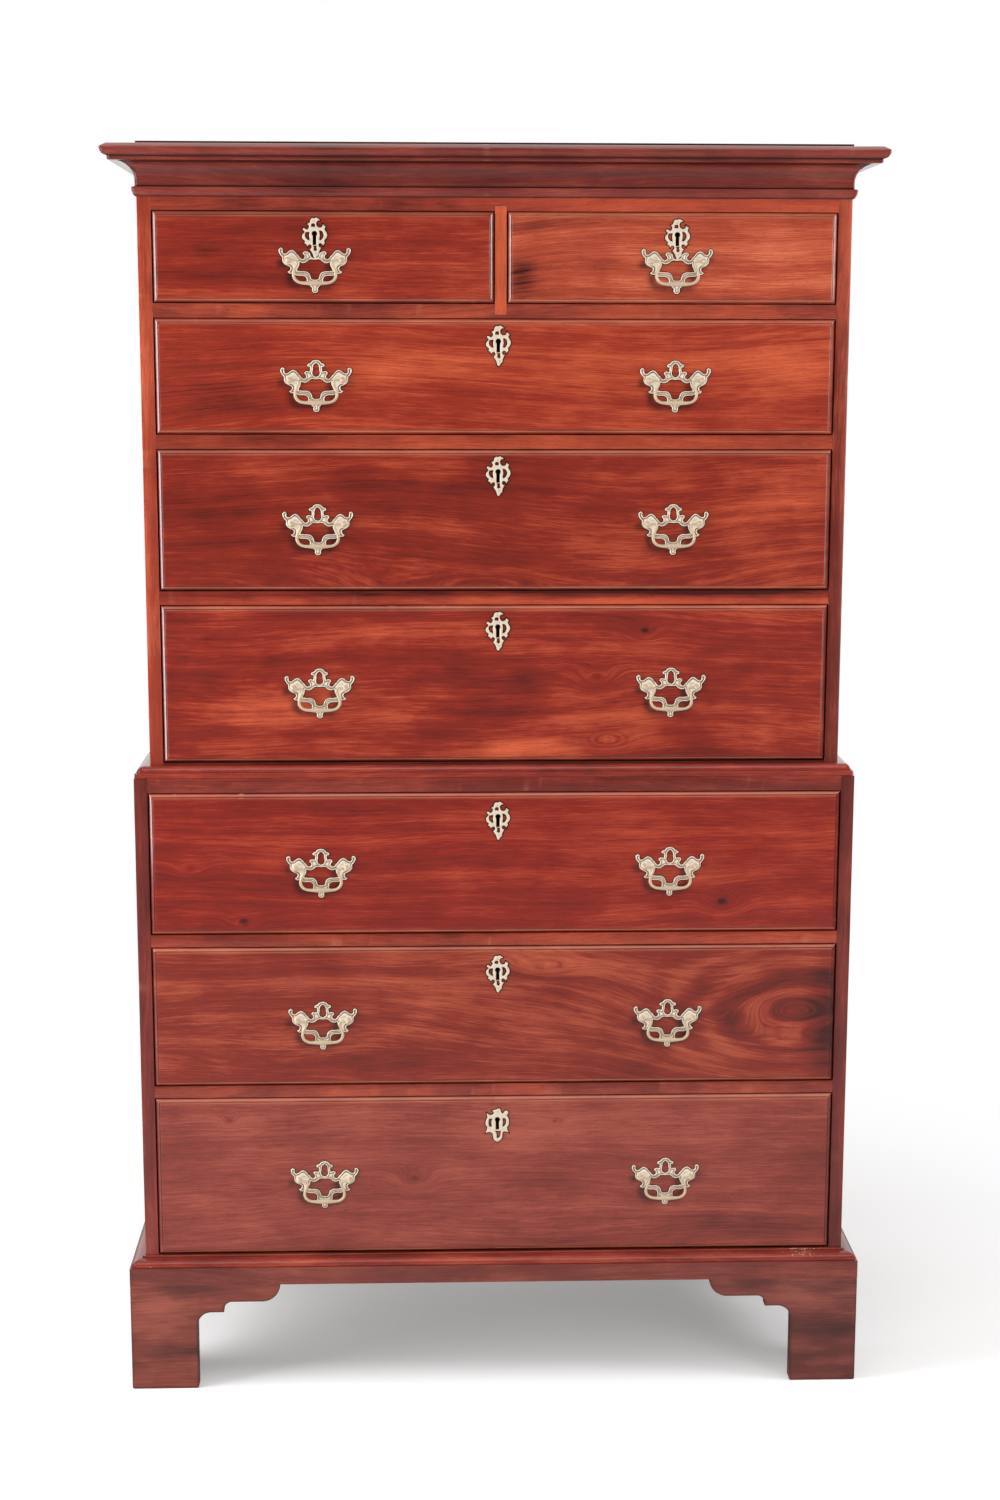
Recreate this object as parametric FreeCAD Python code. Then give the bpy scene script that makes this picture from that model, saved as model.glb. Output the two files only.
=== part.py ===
import FreeCAD
import Part
import math
import os

# A chest on chest: a case of three long drawers on bracket feet carries a narrower case of
# two short and three long drawers under a cornice. Millimetres, +Z up, the front faces -Y.
# The origin is on the floor under the middle of the overall box.

Point = FreeCAD.Vector

# ---- driving dimensions: the two cases ----
upper_width = 1020.0
upper_depth = 505.0
waist_step = 22.0  # the lower case is this much wider at each side and in front
plinth_step = 22.0  # the plinth stands out from the lower case by this much
case_side = 20.0  # thickness of the case sides
back_board = 10.0
back_rebate = 10.0  # the back boards lie in rebates this wide
upper_back_count = 5
lower_back_count = 4

# ---- driving dimensions: heights from the floor up ----
foot_height = 166.0
plinth_height = 27.0
lower_bottom = 15.0
seventh_opening = 247.0
sixth_opening = 215.0
fifth_opening = 215.0
lower_rail = 18.5
lower_top_board = 21.0
upper_bottom = 20.0
fourth_opening = 234.0
third_opening = 206.0
second_opening = 166.0
top_row_opening = 130.0
upper_rail = 20.0
frieze_height = 74.5
upper_top_board = 20.0

# ---- driving dimensions: rails, dustboards and runners ----
rail_depth = 50.0
frieze_thickness = 22.0
rail_tenon = 8.0
tenon_setback = 9.0
dustboard = 8.0
dustboard_housing = 6.0
dustboard_tongue = 6.0
kicker_width = 30.0
top_kicker_height = 20.0
muntin_width = 17.0
muntin_offset = 6.5  # the muntin stands a little right of the middle
muntin_lap_up = 7.0
muntin_lap_down = 15.0
muntin_lap_depth = 8.0
guide_height = 25.0
stop_height = 4.0
stop_width = 40.0
stop_length = 25.0
stop_inset = 70.0  # from the drawer's end to the middle of a stop
case_tail_count = 9
side_strip = 6.0  # the front strip of each case side runs up past the dovetails
overcut = 1.0  # a cutting shape runs this far past the surface it cuts
hair = 0.01  # edges within this distance of a plane lie on it
curve_points = 6  # points on each quarter ellipse of a moulding

# ---- driving dimensions: mouldings ----
cornice_projection = 45.0
cornice_drop = 76.5  # from the top of the case down to the foot of the cornice
cornice_height = 71.0
cornice_bead = 6.3
cornice_bead_height = 13.5
cornice_neck = 1.8
cornice_neck_height = 9.0
cornice_cove = 25.5
cornice_cove_height = 25.5
cornice_fillet_height = 6.0
cornice_crown_radius = 9.5
cornice_weathering = 5.5  # the top slopes up from its outer edge by this much
waist_projection = 20.5
waist_height = 17.0
waist_fillet = 7.5
waist_shoulder = 17.5
waist_crown = 7.0
base_moulding_projection = 19.5
base_moulding_height = 14.0
base_edge = 2.0
base_fillet = 3.0
base_fillet_reach = 4.0
plinth_board_width = 60.0

# ---- driving dimensions: bracket feet ----
bracket_length = 227.0
bracket_thickness = 22.0
leg_width = 101.0
leg_cove = 21.0  # radius of the cove above the leg
leg_step_drop = 44.0  # flat below the plinth next to the leg
wing_step_drop = 27.5  # flat below the plinth at the wing
step_riser = 3.5
step_ledge = 19.0
rear_bracket_length = 130.0
glue_block = 40.0
glue_block_lift = 3.0

# ---- driving dimensions: drawers ----
drawer_front = 20.0
drawer_side = 9.0
drawer_bottom = 7.0
drawer_bottom_lift = 6.0
drawer_groove = 5.0
side_gap = 1.5
top_gap = 1.2
front_lift = 1.0
runner_clearance = 0.3
stop_clearance = 0.3
drawer_back_gap = 12.0
side_top_drop = 1.5
back_top_drop = 5.0
field_proud = 4.5  # the drawer's field stands this much in front of the case
field_step = 1.2
thumb_radius = 5.0
thumb_flat = 1.2
dovetail_lap = 14.0
dovetail_pin = 7.0
dovetail_slope = 7.0
dovetail_pitch = 40.0

# ---- driving dimensions: handles ----
handle_reach = 258.5  # from the middle of the case to the middle of each handle
post_drop = 5.0  # the posts lie below the middle of the opening by this much
post_spacing = 76.0
post_shank = 2.5
post_collar = 5.0
post_collar_thickness = 1.5
post_neck = 3.4
post_head = 5.2
post_tail = 7.0  # how far the shank stands out inside the drawer
plate_thickness = 2.0
pivot_offset = 8.0  # from the plate's face to the axis of the bail
bail_radius = 2.2
grip_radius = 3.6
grip_inset = 21.0  # from a post inwards to the end of the grip
grip_sink = 0.4  # the grip's ends start this far inside the rod
bail_drop = 31.8
bail_elbow_inset = 15.5  # from a post inwards to where the bail turns down
bail_belly_inset = 6.5
bail_belly_drop = 21.0
bail_foot_inset = 16.5
bail_bends = [4.0, 8.0, 12.0]  # bend radii at the elbow, the belly and the foot
pin_end = 1.5  # the bail's ends stand this much beyond the post heads
pivot_clearance = 0.08
fit_clearance = 0.1
nut_across = 9.0
nut_thickness = 4.0

# ---- driving dimensions: locks ----
lock_offset = 3.0  # the long drawers' locks sit a little right of the middle
upper_key_drop = 39.0  # from the top of the opening to the middle of the keyhole plate
lower_key_drop = 43.0
keyhole_rise = 6.2  # the round of the keyhole lies above the plate's middle
keyhole_radius = 3.6
keyhole_slot = 4.8
keyhole_length = 15.5
lock_width = 64.0
lock_height = 58.0
lock_thickness = 11.0
bolt_width = 20.0
bolt_thickness = 5.0
bolt_throw = 9.0
bolt_clearance = 0.3
mortise_room = 1.0  # room round a shot bolt in the rail
key_chamber_width = 14.0
lock_pin_radius = 1.2
escutcheon_thickness = 1.6
escutcheon_pin = 0.8
escutcheon_pin_length = 9.0
pin_head = 1.5
pin_head_height = 0.7
screw_shank = 1.5
screw_head = 3.0
screw_head_height = 1.5
screw_bite = 4.5  # how deep a screw goes into the wood in front of the lock
screw_inset = 5.0
screw_top_inset = 10.0

scrolled_width = 35.6
eared_width = 36.2

# ---- the outline of a handle plate: right half, from the top round to the pendant ----
outline_post_reach = 38.0  # where the post stands in this outline
plate_edge = [
    [(0, 28.4), (5.0, 27.4), (7.7, 24.1)],
    [(7.7, 24.1), (11.0, 22.9), (12.5, 20.8), (11.2, 18.9), (8.7, 19.0)],
    [(8.7, 19.0), (8.5, 15.5), (9.3, 11.6)],
    [(9.3, 11.6), (12.0, 12.9), (15.0, 12.4), (16.8, 9.9), (14.9, 7.0)],
    [(14.9, 7.0), (14.2, 4.6), (15.7, 2.6), (18.1, 1.9), (21.0, 4.2), (23.2, 6.9)],
    [(23.2, 6.9), (25.6, 9.4), (28.4, 12.7), (32.0, 14.4), (37.0, 12.8), (40.6, 9.9), (44.2, 9.8)],
    [(44.2, 9.8), (45.4, 12.4), (45.0, 15.4), (48.0, 18.0)],
    [(48.0, 18.0), (50.8, 15.6), (50.6, 10.8), (48.2, 6.9), (45.8, 4.2)],
    [(45.8, 4.2), (46.0, 0.0), (43.2, -5.0), (38.0, -7.8), (34.8, -10.0), (35.0, -12.8), (38.7, -15.9)],
    [(38.7, -15.9), (35.6, -18.7), (31.0, -18.4), (26.5, -20.8), (21.5, -21.6)],
    [(21.5, -21.6), (16.0, -21.9), (12.6, -24.0), (11.6, -27.6), (12.1, -32.0)],
    [(12.1, -32.0), (8.6, -34.0), (6.2, -36.4), (3.9, -38.6)],
    [(3.9, -38.6), (4.4, -41.8), (2.8, -44.6), (0, -45.4)],
]
plate_window = [
    [(0, 0.9), (4.2, 1.5), (7.7, 1.2)],
    [(7.7, 1.2), (12.0, -2.4), (17.0, -3.8), (21.6, -2.2)],
    [(21.6, -2.2), (22.0, -6.5), (24.0, -11.0), (25.4, -14.4)],
    [(25.4, -14.4), (17.5, -14.9), (11.0, -15.4), (7.2, -17.8), (4.6, -21.6), (0, -24.5)],
]
plate_loop_hole = [
    [(0, 24.2), (3.4, 21.4), (4.6, 15.6), (5.4, 9.4)],
    [(5.4, 9.4), (3.4, 6.2), (0, 4.7)],
]
trimmed_loop = 10.5  # the short drawers' plates lose their loop above this height
trimmed_reach = 9.4  # and within this distance of the middle
trimmed_ears = 13.5  # and everything of it above this height
cup_radius = 6.5  # the hollow for the tip of the keyhole plate above
cup_clearance = 0.3

# ---- the outline of the scrolled keyhole plate, clockwise from its top notch ----
scrolled_edge = [
    [(0, 26.6), (1.2, 27.7), (3.6, 27.2), (6.3, 24.4)],
    [(6.3, 24.4), (3.4, 22.6), (2.8, 19.7), (4.6, 16.0), (7.5, 14.6), (10.2, 16.4), (11.8, 20.4)],
    [(11.8, 20.4), (13.0, 17.2), (15.5, 15.5)],
    [(15.5, 15.5), (14.2, 12.0), (16.6, 7.6), (17.4, 3.4), (16.0, -0.4), (13.6, -3.8), (14.6, -6.6)],
    [(14.6, -6.6), (12.8, -8.0), (12.2, -11.0)],
    [(12.2, -11.0), (10.0, -7.8), (7.5, -7.0), (5.6, -9.2), (6.4, -11.6), (9.2, -12.9)],
    [(9.2, -12.9), (7.4, -15.8), (6.2, -19.0), (5.9, -22.6)],
    [(5.9, -22.6), (3.4, -24.6), (1.9, -27.2), (0, -28.0), (-1.4, -26.2), (-2.4, -22.6), (-7.0, -15.3)],
    [(-7.0, -15.3), (-4.6, -13.2), (-4.2, -10.8), (-6.1, -8.7), (-8.5, -9.4), (-9.9, -11.8)],
    [(-9.9, -11.8), (-11.4, -8.6), (-14.1, -7.0)],
    [(-14.1, -7.0), (-13.2, -4.2), (-16.0, -1.4), (-17.2, 1.9), (-16.0, 5.4), (-13.6, 8.2), (-16.0, 11.3)],
    [(-16.0, 11.3), (-15.2, 13.6), (-12.6, 13.0), (-10.6, 11.8), (-8.2, 13.4), (-7.3, 16.0), (-9.9, 19.3)],
    [(-9.9, 19.3), (-6.6, 20.9), (-5.4, 24.2), (-3.0, 27.2), (0, 26.6)],
]
scrolled_holes = [
    [[(6.6, 9.4), (9.2, 8.8), (11.2, 5.6), (10.6, 1.8), (7.5, -1.4)],
     [(7.5, -1.4), (8.6, 2.6), (6.6, 9.4)]],
    [[(-11.8, 5.9), (-7.2, 5.6)], [(-7.2, 5.6), (-7.4, 2.0), (-6.8, -1.9)],
     [(-6.8, -1.9), (-9.8, -0.4), (-12.2, 3.2), (-11.8, 5.9)]],
    [[(-0.9, 19.3), (-0.2, 15.0)], [(-0.2, 15.0), (-3.8, 15.2)], [(-3.8, 15.2), (-3.2, 18.4), (-0.9, 19.3)]],
    [[(-1.2, -10.2), (2.6, -10.2)], [(2.6, -10.2), (2.0, -12.6), (2.8, -15.2), (1.2, -16.8)],
     [(1.2, -16.8), (-0.8, -15.0), (-0.2, -12.6), (-1.2, -10.2)]],
]
scrolled_pins = [(-0.6, 22.6), (1.6, -20.6)]

# ---- the outline of the eared keyhole plate on the lowest drawer ----
eared_edge = [
    [(2.0, 23.7), (4.2, 22.2), (5.4, 17.8), (8.0, 15.8), (10.4, 19.0)],
    [(10.4, 19.0), (13.2, 20.2), (15.6, 18.6), (15.9, 15.4), (13.9, 12.7)],
    [(13.9, 12.7), (16.4, 8.0), (17.4, 2.9), (16.4, -2.4), (14.2, -5.8)],
    [(14.2, -5.8), (15.2, -10.2), (17.6, -14.5)],
    [(17.6, -14.5), (12.6, -12.6), (9.2, -12.8), (7.6, -15.4), (7.4, -20.2), (5.6, -24.6), (-0.3, -28.3)],
    [(-0.3, -28.3), (-5.4, -24.8), (-6.7, -20.6), (-6.9, -17.2), (-9.0, -14.0), (-12.8, -13.2), (-17.9, -15.0)],
    [(-17.9, -15.0), (-15.8, -10.0), (-15.0, -5.8)],
    [(-15.0, -5.8), (-17.2, -2.2), (-17.4, 2.4), (-16.4, 6.2), (-14.8, 9.0)],
    [(-14.8, 9.0), (-15.6, 13.0), (-16.2, 16.8)],
    [(-16.2, 16.8), (-13.2, 14.8), (-9.8, 13.6), (-6.4, 14.6), (-5.6, 16.8), (-7.8, 20.2)],
    [(-7.8, 20.2), (-3.4, 21.6), (2.0, 23.7)],
]
eared_holes = [
    [[(7.5, 8.0), (11.4, 7.6), (12.8, 2.6), (11.0, -2.6), (7.6, -4.8)],
     [(7.6, -4.8), (8.2, 1.6), (7.5, 8.0)]],
    [[(-12.2, 7.4), (-7.8, 7.4)], [(-7.8, 7.4), (-9.0, 1.4), (-8.4, -4.8)],
     [(-8.4, -4.8), (-11.8, -4.2)], [(-11.8, -4.2), (-13.0, 1.6), (-12.2, 7.4)]],
    [[(-3.2, -11.4), (4.6, -11.4)], [(4.6, -11.4), (4.4, -17.0), (2.4, -21.6), (-1.2, -22.4)],
     [(-1.2, -22.4), (-1.0, -17.0), (-3.2, -11.4)]],
]
eared_pins = [(0.4, 18.6), (-0.3, -25.2)]

# ---- derived levels and planes ----


def openings_from(first_low, heights, rail):
    """The low and high level of each opening, upwards from first_low."""
    rows = []
    low = first_low
    for height in heights:
        rows.append((low, low + height))
        low += height + rail
    return rows


lower_base = foot_height + plinth_height
lower_rows = openings_from(lower_base + lower_bottom, [seventh_opening, sixth_opening, fifth_opening], lower_rail)
lower_top = lower_rows[-1][1] + lower_top_board
upper_rows = openings_from(lower_top + upper_bottom,
                           [fourth_opening, third_opening, second_opening, top_row_opening], upper_rail)
frieze_top = upper_rows[-1][1] + frieze_height
upper_top = frieze_top + upper_top_board

upper_half = upper_width / 2
lower_half = upper_half + waist_step
plinth_half = lower_half + plinth_step
lower_depth = upper_depth + waist_step
brass_reach = field_proud + plate_thickness + pivot_offset + max(post_head, grip_radius)
overall_depth = max(upper_depth + cornice_projection, lower_depth + plinth_step, lower_depth + brass_reach)
back_y = overall_depth / 2
upper_front = back_y - upper_depth
lower_front = back_y - lower_depth
plinth_front = lower_front - plinth_step
inside_back = back_y - back_board

# ---- small helpers ----


def block(x0, x1, y0, y1, z0, z1):
    return Part.makeBox(x1 - x0, y1 - y0, z1 - z0, Point(x0, y0, z0))


def cylinder_y(radius, x, z, y0, y1):
    return Part.makeCylinder(radius, y1 - y0, Point(x, y0, z), Point(0, 1, 0))


def fused(solids):
    whole = solids[0].multiFuse(solids[1:]) if len(solids) > 1 else solids[0]
    return whole.removeSplitter()


def prism(corners, along):
    """A solid from the closed polygon of corners, carried along a vector."""
    return Part.Face(Part.makePolygon(corners + [corners[0]])).extrude(along)


def save(node, solids):
    Part.makeCompound(solids).exportStep("parts/" + node + ".step")


def tail_row(x0, x1, root, tip, start, end, count, upright):
    """Dovetails side by side from start to end: narrow at root, wide at tip, as thick as x0 to x1.
    They point along Y, or along Z where upright is true."""
    pitch = (end - start) / count
    wide = (pitch - dovetail_pin) / 2
    narrow = wide - abs(tip - root) / dovetail_slope
    tails = []
    for step in range(count):
        middle = start + pitch * (step + 0.5)
        corners = [(root, middle - narrow), (root, middle + narrow), (tip, middle + wide), (tip, middle - wide)]
        if upright:
            points = [Point(x0, along, reach) for reach, along in corners]
        else:
            points = [Point(x0, reach, along) for reach, along in corners]
        tails.append(prism(points, Point(x1 - x0, 0, 0)))
    return tails


# ---- mouldings: a profile of (projection, level) carried round the front and both sides ----


def profile_face(steps, place):
    """A face from steps. Each step is a list of (p, z) pairs: one pair is the end of a straight
    line, two are the middle and end of an arc, more are a smooth curve through all of them.
    place turns a pair into a point in space."""
    edges = []
    here = place(*steps[0][-1])
    for step in steps[1:] + [steps[0]]:
        points = [place(*pair) for pair in step]
        if len(points) == 1:
            edges.append(Part.LineSegment(here, points[0]).toShape())
        elif len(points) == 2:
            edges.append(Part.Arc(here, points[0], points[1]).toShape())
        else:
            curve = Part.BSplineCurve()
            curve.interpolate([here] + points)
            edges.append(curve.toShape())
        here = points[-1]
    return Part.Face(Part.Wire(edges))


def mitred_moulding(steps, half, front):
    """Front length and two returns of a moulding, mitred at the front corners."""
    reach = max(pair[0] for step in steps for pair in step) + overcut
    inward = min(0.0, min(pair[0] for step in steps for pair in step)) - overcut
    low = min(pair[1] for step in steps for pair in step) - overcut
    high = max(pair[1] for step in steps for pair in step) + overcut
    far = half + reach
    near = half + inward
    wedge_corners = [Point(-far, front - reach, low), Point(far, front - reach, low),
                     Point(near, front - inward, low), Point(-near, front - inward, low)]
    wedge = prism(wedge_corners, Point(0, 0, high - low))
    front_face = profile_face(steps, lambda p, z: Point(-far, front - p, z))
    pieces = [front_face.extrude(Point(2 * far, 0, 0)).common(wedge)]
    for hand in (-1, 1):
        side_face = profile_face(steps, lambda p, z: Point(hand * (half + p), front - reach, z))
        side = side_face.extrude(Point(0, back_y - front + reach, 0))
        pieces.append(side.cut(wedge))
    return [piece.Solids[0] for piece in pieces]


def quarter(centre_p, centre_z, radius_p, radius_z, count, downwards=False):
    """Points on a quarter of an ellipse about a centre, without its first: from beside the centre
    to above it, or the other way. Two points make an arc, more make a curve."""
    turns = [step / count for step in range(1, count + 1)]
    if downwards:
        turns = [1 - turn for turn in turns]
    return [(centre_p + radius_p * math.cos(turn * math.pi / 2),
             centre_z + radius_z * math.sin(turn * math.pi / 2)) for turn in turns]


def cornice_steps():
    """From the foot: an ovolo bead, a plain neck, a deep cove, a fillet and a rounded top member."""
    low = upper_top - cornice_drop
    high = low + cornice_height
    bead_high = low + cornice_bead_height
    cove_low = bead_high + cornice_neck_height
    cove_high = cove_low + cornice_cove_height
    fillet_reach = cornice_projection - cornice_crown_radius
    fillet_high = cove_high + cornice_fillet_height
    edge_high = high - cornice_weathering
    bead = quarter(0, bead_high, cornice_bead, low - bead_high, curve_points, downwards=True)
    cove = quarter(cornice_cove, cove_low, cornice_neck - cornice_cove, cove_high - cove_low, curve_points)
    crown = quarter(fillet_reach, fillet_high + cornice_crown_radius, cornice_crown_radius,
                    -cornice_crown_radius, 2, downwards=True)
    return [[(0, low)], bead, [(cornice_neck, bead_high)], [(cornice_neck, cove_low)], cove,
            [(fillet_reach, cove_high)], [(fillet_reach, fillet_high)], crown,
            [(cornice_projection, edge_high)], [(fillet_reach, high)], [(0, high)]]


def waist_steps():
    """A fillet with an ovolo above it, on the ledge of the lower case."""
    high = lower_top + waist_height
    shoulder_low = lower_top + waist_fillet
    ovolo = quarter(waist_crown, shoulder_low, waist_shoulder - waist_crown, high - shoulder_low, curve_points)
    return [[(0, lower_top)], [(waist_projection, lower_top)], [(waist_projection, shoulder_low)],
            [(waist_shoulder, shoulder_low)], ovolo, [(0, high)]]


def base_steps():
    """An ovolo with a small fillet above it, on the ledge of the plinth."""
    high = lower_base + base_moulding_height
    edge_high = lower_base + base_edge
    ovolo_high = high - base_fillet
    ovolo = quarter(base_fillet_reach, edge_high, base_moulding_projection - base_fillet_reach,
                    ovolo_high - edge_high, curve_points)
    return [[(0, lower_base)], [(base_moulding_projection, lower_base)],
            [(base_moulding_projection, edge_high)], ovolo, [(base_fillet_reach, high)], [(0, high)]]


def plinth_steps():
    """A flat board, flush outside with the feet and reaching inwards under the case."""
    inner = plinth_step - plinth_board_width
    return [[(inner, foot_height)], [(plinth_step, foot_height)], [(plinth_step, lower_base)],
            [(inner, lower_base)]]


# ---- the two cases ----


def case_sides(half, front, low, bottom, board_low, high):
    """Left and right side, dovetailed through the bottom board and the top board. A strip along
    the front edge hides the dovetails."""
    sides = []
    inner = half - case_side
    tails_start = front + side_strip
    for hand in (-1, 1):
        x0, x1 = sorted((hand * inner, hand * half))
        rebate_edge = hand * (inner + back_rebate)
        lip = sorted((rebate_edge, hand * half))
        parts = [block(x0, x1, front, inside_back, low + bottom, board_low),
                 block(x0, x1, front, tails_start, low, high),
                 block(lip[0], lip[1], inside_back, back_y, low, high)]
        parts += tail_row(x0, x1, low + bottom, low, tails_start, inside_back, case_tail_count, True)
        parts += tail_row(x0, x1, board_low, high, tails_start, inside_back, case_tail_count, True)
        sides.append(fused(parts))
    return sides


def rail_between(inner, front, low, high):
    """A drawer rail with a stub tenon at each end, set back from the front."""
    tenon = inner + rail_tenon
    return fused([block(-inner, inner, front, front + rail_depth, low, high),
                  block(-tenon, tenon, front + tenon_setback, front + rail_depth, low, high)])


def dust_layer(inner, front, low, high):
    """The dustboard behind a rail and the two kickers under it."""
    housed = inner + dustboard_housing
    board = block(-housed, housed, front + rail_depth - dustboard_tongue, inside_back, high - dustboard, high)
    kickers = []
    for hand in (-1, 1):
        x0, x1 = sorted((hand * inner, hand * (inner - kicker_width)))
        kickers.append(block(x0, x1, front + rail_depth, inside_back, low, high - dustboard))
    return board, kickers


def stops_for(x0, x1, front, level):
    """Two stop blocks on the surface that a drawer runs on, just behind its front."""
    y0 = front + drawer_front + stop_clearance
    return [block(x - stop_width / 2, x + stop_width / 2, y0, y0 + stop_length, level, level + stop_height)
            for x in (x0 + stop_inset, x1 - stop_inset)]


def back_boards(inner, low, high, count):
    """Boards laid one above the other in the rebates."""
    edge = inner + back_rebate
    height = (high - low) / count
    return [block(-edge, edge, inside_back, back_y, low + height * step, low + height * (step + 1))
            for step in range(count)]


def bolt_mortise(x, front, level):
    """The pocket above a drawer's lock that its bolt shoots into."""
    y_middle = front + drawer_front - lock_thickness / 2
    reach_x = bolt_width / 2 + mortise_room
    reach_y = bolt_thickness / 2 + mortise_room
    return block(x - reach_x, x + reach_x, y_middle - reach_y, y_middle + reach_y,
                 level - overcut, level + bolt_throw + mortise_room)


def build_upper_case():
    inner = upper_half - case_side
    front = upper_front
    sides = case_sides(upper_half, front, lower_top, upper_bottom, frieze_top, upper_top)
    top = block(-upper_half, upper_half, front, inside_back, frieze_top, upper_top)
    bottom = block(-upper_half, upper_half, front, inside_back, lower_top, lower_top + upper_bottom)
    rails = []
    boards = []
    loose = []
    for under, over in zip(upper_rows[:-1], upper_rows[1:]):
        rail = rail_between(inner, front, under[1], over[0])
        board, kickers = dust_layer(inner, front, under[1], over[0])
        rails.append(rail.cut(board).cut(bolt_mortise(lock_offset, front, under[1])))
        boards.append(board)
        loose += kickers
    row_low, row_high = upper_rows[-1]
    frieze_tenon = inner + rail_tenon
    frieze = fused([block(-inner, inner, front, front + frieze_thickness, row_high, frieze_top),
                    block(-frieze_tenon, frieze_tenon, front + tenon_setback, front + frieze_thickness,
                          row_high, frieze_top)])
    for lock_x in (-handle_reach, handle_reach):
        frieze = frieze.cut(bolt_mortise(lock_x, front, row_high))
    left = muntin_offset - muntin_width / 2
    right = muntin_offset + muntin_width / 2
    muntin = fused([block(left, right, front, front + rail_depth, row_low, row_high),
                    block(left, right, front, front + muntin_lap_depth,
                          row_low - muntin_lap_down, row_high + muntin_lap_up)])
    frieze = frieze.cut(muntin)
    rails[-1] = rails[-1].cut(muntin)
    loose.append(block(left, right, front + rail_depth, inside_back, row_low, row_low + guide_height))
    kicker_high = row_high + top_kicker_height
    kicker_y = front + frieze_thickness
    loose.append(block(muntin_offset - kicker_width, muntin_offset + kicker_width, kicker_y, inside_back,
                       row_high, kicker_high))
    for hand in (-1, 1):
        x0, x1 = sorted((hand * inner, hand * (inner - kicker_width)))
        loose.append(block(x0, x1, kicker_y, inside_back, row_high, kicker_high))
    for low, high in upper_rows[:-1]:
        loose += stops_for(-inner, inner, front, low)
    loose += stops_for(-inner, left, front, row_low)
    loose += stops_for(right, inner, front, row_low)
    tools = rails + boards + [frieze]
    sides = [side.cut(tools) for side in sides]
    top = top.cut(sides)
    bottom = bottom.cut(sides)
    save("upper_case_sides", sides)
    save("upper_case_top_and_bottom", [top, bottom])
    save("upper_case_rails_and_muntin", rails + [frieze, muntin])
    save("upper_case_dustboards_and_stops", boards + loose)
    save("upper_case_back_boards", back_boards(inner, lower_top, upper_top, upper_back_count))
    save("cornice", mitred_moulding(cornice_steps(), upper_half, front))


def build_lower_case():
    inner = lower_half - case_side
    front = lower_front
    board_low = lower_rows[-1][1]
    sides = case_sides(lower_half, front, lower_base, lower_bottom, board_low, lower_top)
    split = front + rail_depth
    top_rail = block(-lower_half, lower_half, front, split, board_low, lower_top).cut(sides)
    top_rail = top_rail.cut(bolt_mortise(lock_offset, front, board_low))
    top = block(-lower_half, lower_half, split, inside_back, board_low, lower_top).cut(sides)
    bottom = block(-lower_half, lower_half, front, inside_back, lower_base, lower_base + lower_bottom).cut(sides)
    rails = []
    boards = []
    loose = []
    for under, over in zip(lower_rows[:-1], lower_rows[1:]):
        rail = rail_between(inner, front, under[1], over[0])
        board, kickers = dust_layer(inner, front, under[1], over[0])
        rails.append(rail.cut(board).cut(bolt_mortise(lock_offset, front, under[1])))
        boards.append(board)
        loose += kickers
    for low, high in lower_rows:
        loose += stops_for(-inner, inner, front, low)
    sides = [side.cut(rails + boards) for side in sides]
    save("lower_case_sides", sides)
    save("lower_case_top_and_bottom", [top, bottom])
    save("lower_case_rails", rails + [top_rail])
    save("lower_case_dustboards_and_stops", boards + loose)
    save("lower_case_back_boards", back_boards(inner, lower_base, lower_top, lower_back_count))
    save("waist_moulding", mitred_moulding(waist_steps(), upper_half, upper_front))


# ---- plinth and bracket feet ----


def bracket_steps(length):
    """The outline of a bracket in (distance from the corner, level)."""
    leg_flat = foot_height - leg_step_drop
    wing_flat = foot_height - wing_step_drop
    ledge_start = leg_width + leg_cove
    ledge_end = ledge_start + step_ledge
    wing_cove = wing_flat - leg_flat - step_riser
    wing_start = length - wing_step_drop
    leg_round = quarter(ledge_start, leg_flat - leg_cove, -leg_cove, leg_cove, 2)
    wing_round = quarter(ledge_end + wing_cove, wing_flat - wing_cove, -wing_cove, wing_cove, 2)
    end_round = quarter(wing_start, foot_height, wing_step_drop, -wing_step_drop, 2, downwards=True)
    return [[(0, 0)], [(leg_width, 0)], [(leg_width, leg_flat - leg_cove)], leg_round, [(ledge_end, leg_flat)],
            [(ledge_end, leg_flat + step_riser)], wing_round, [(wing_start, wing_flat)], end_round,
            [(0, foot_height)]]


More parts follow.
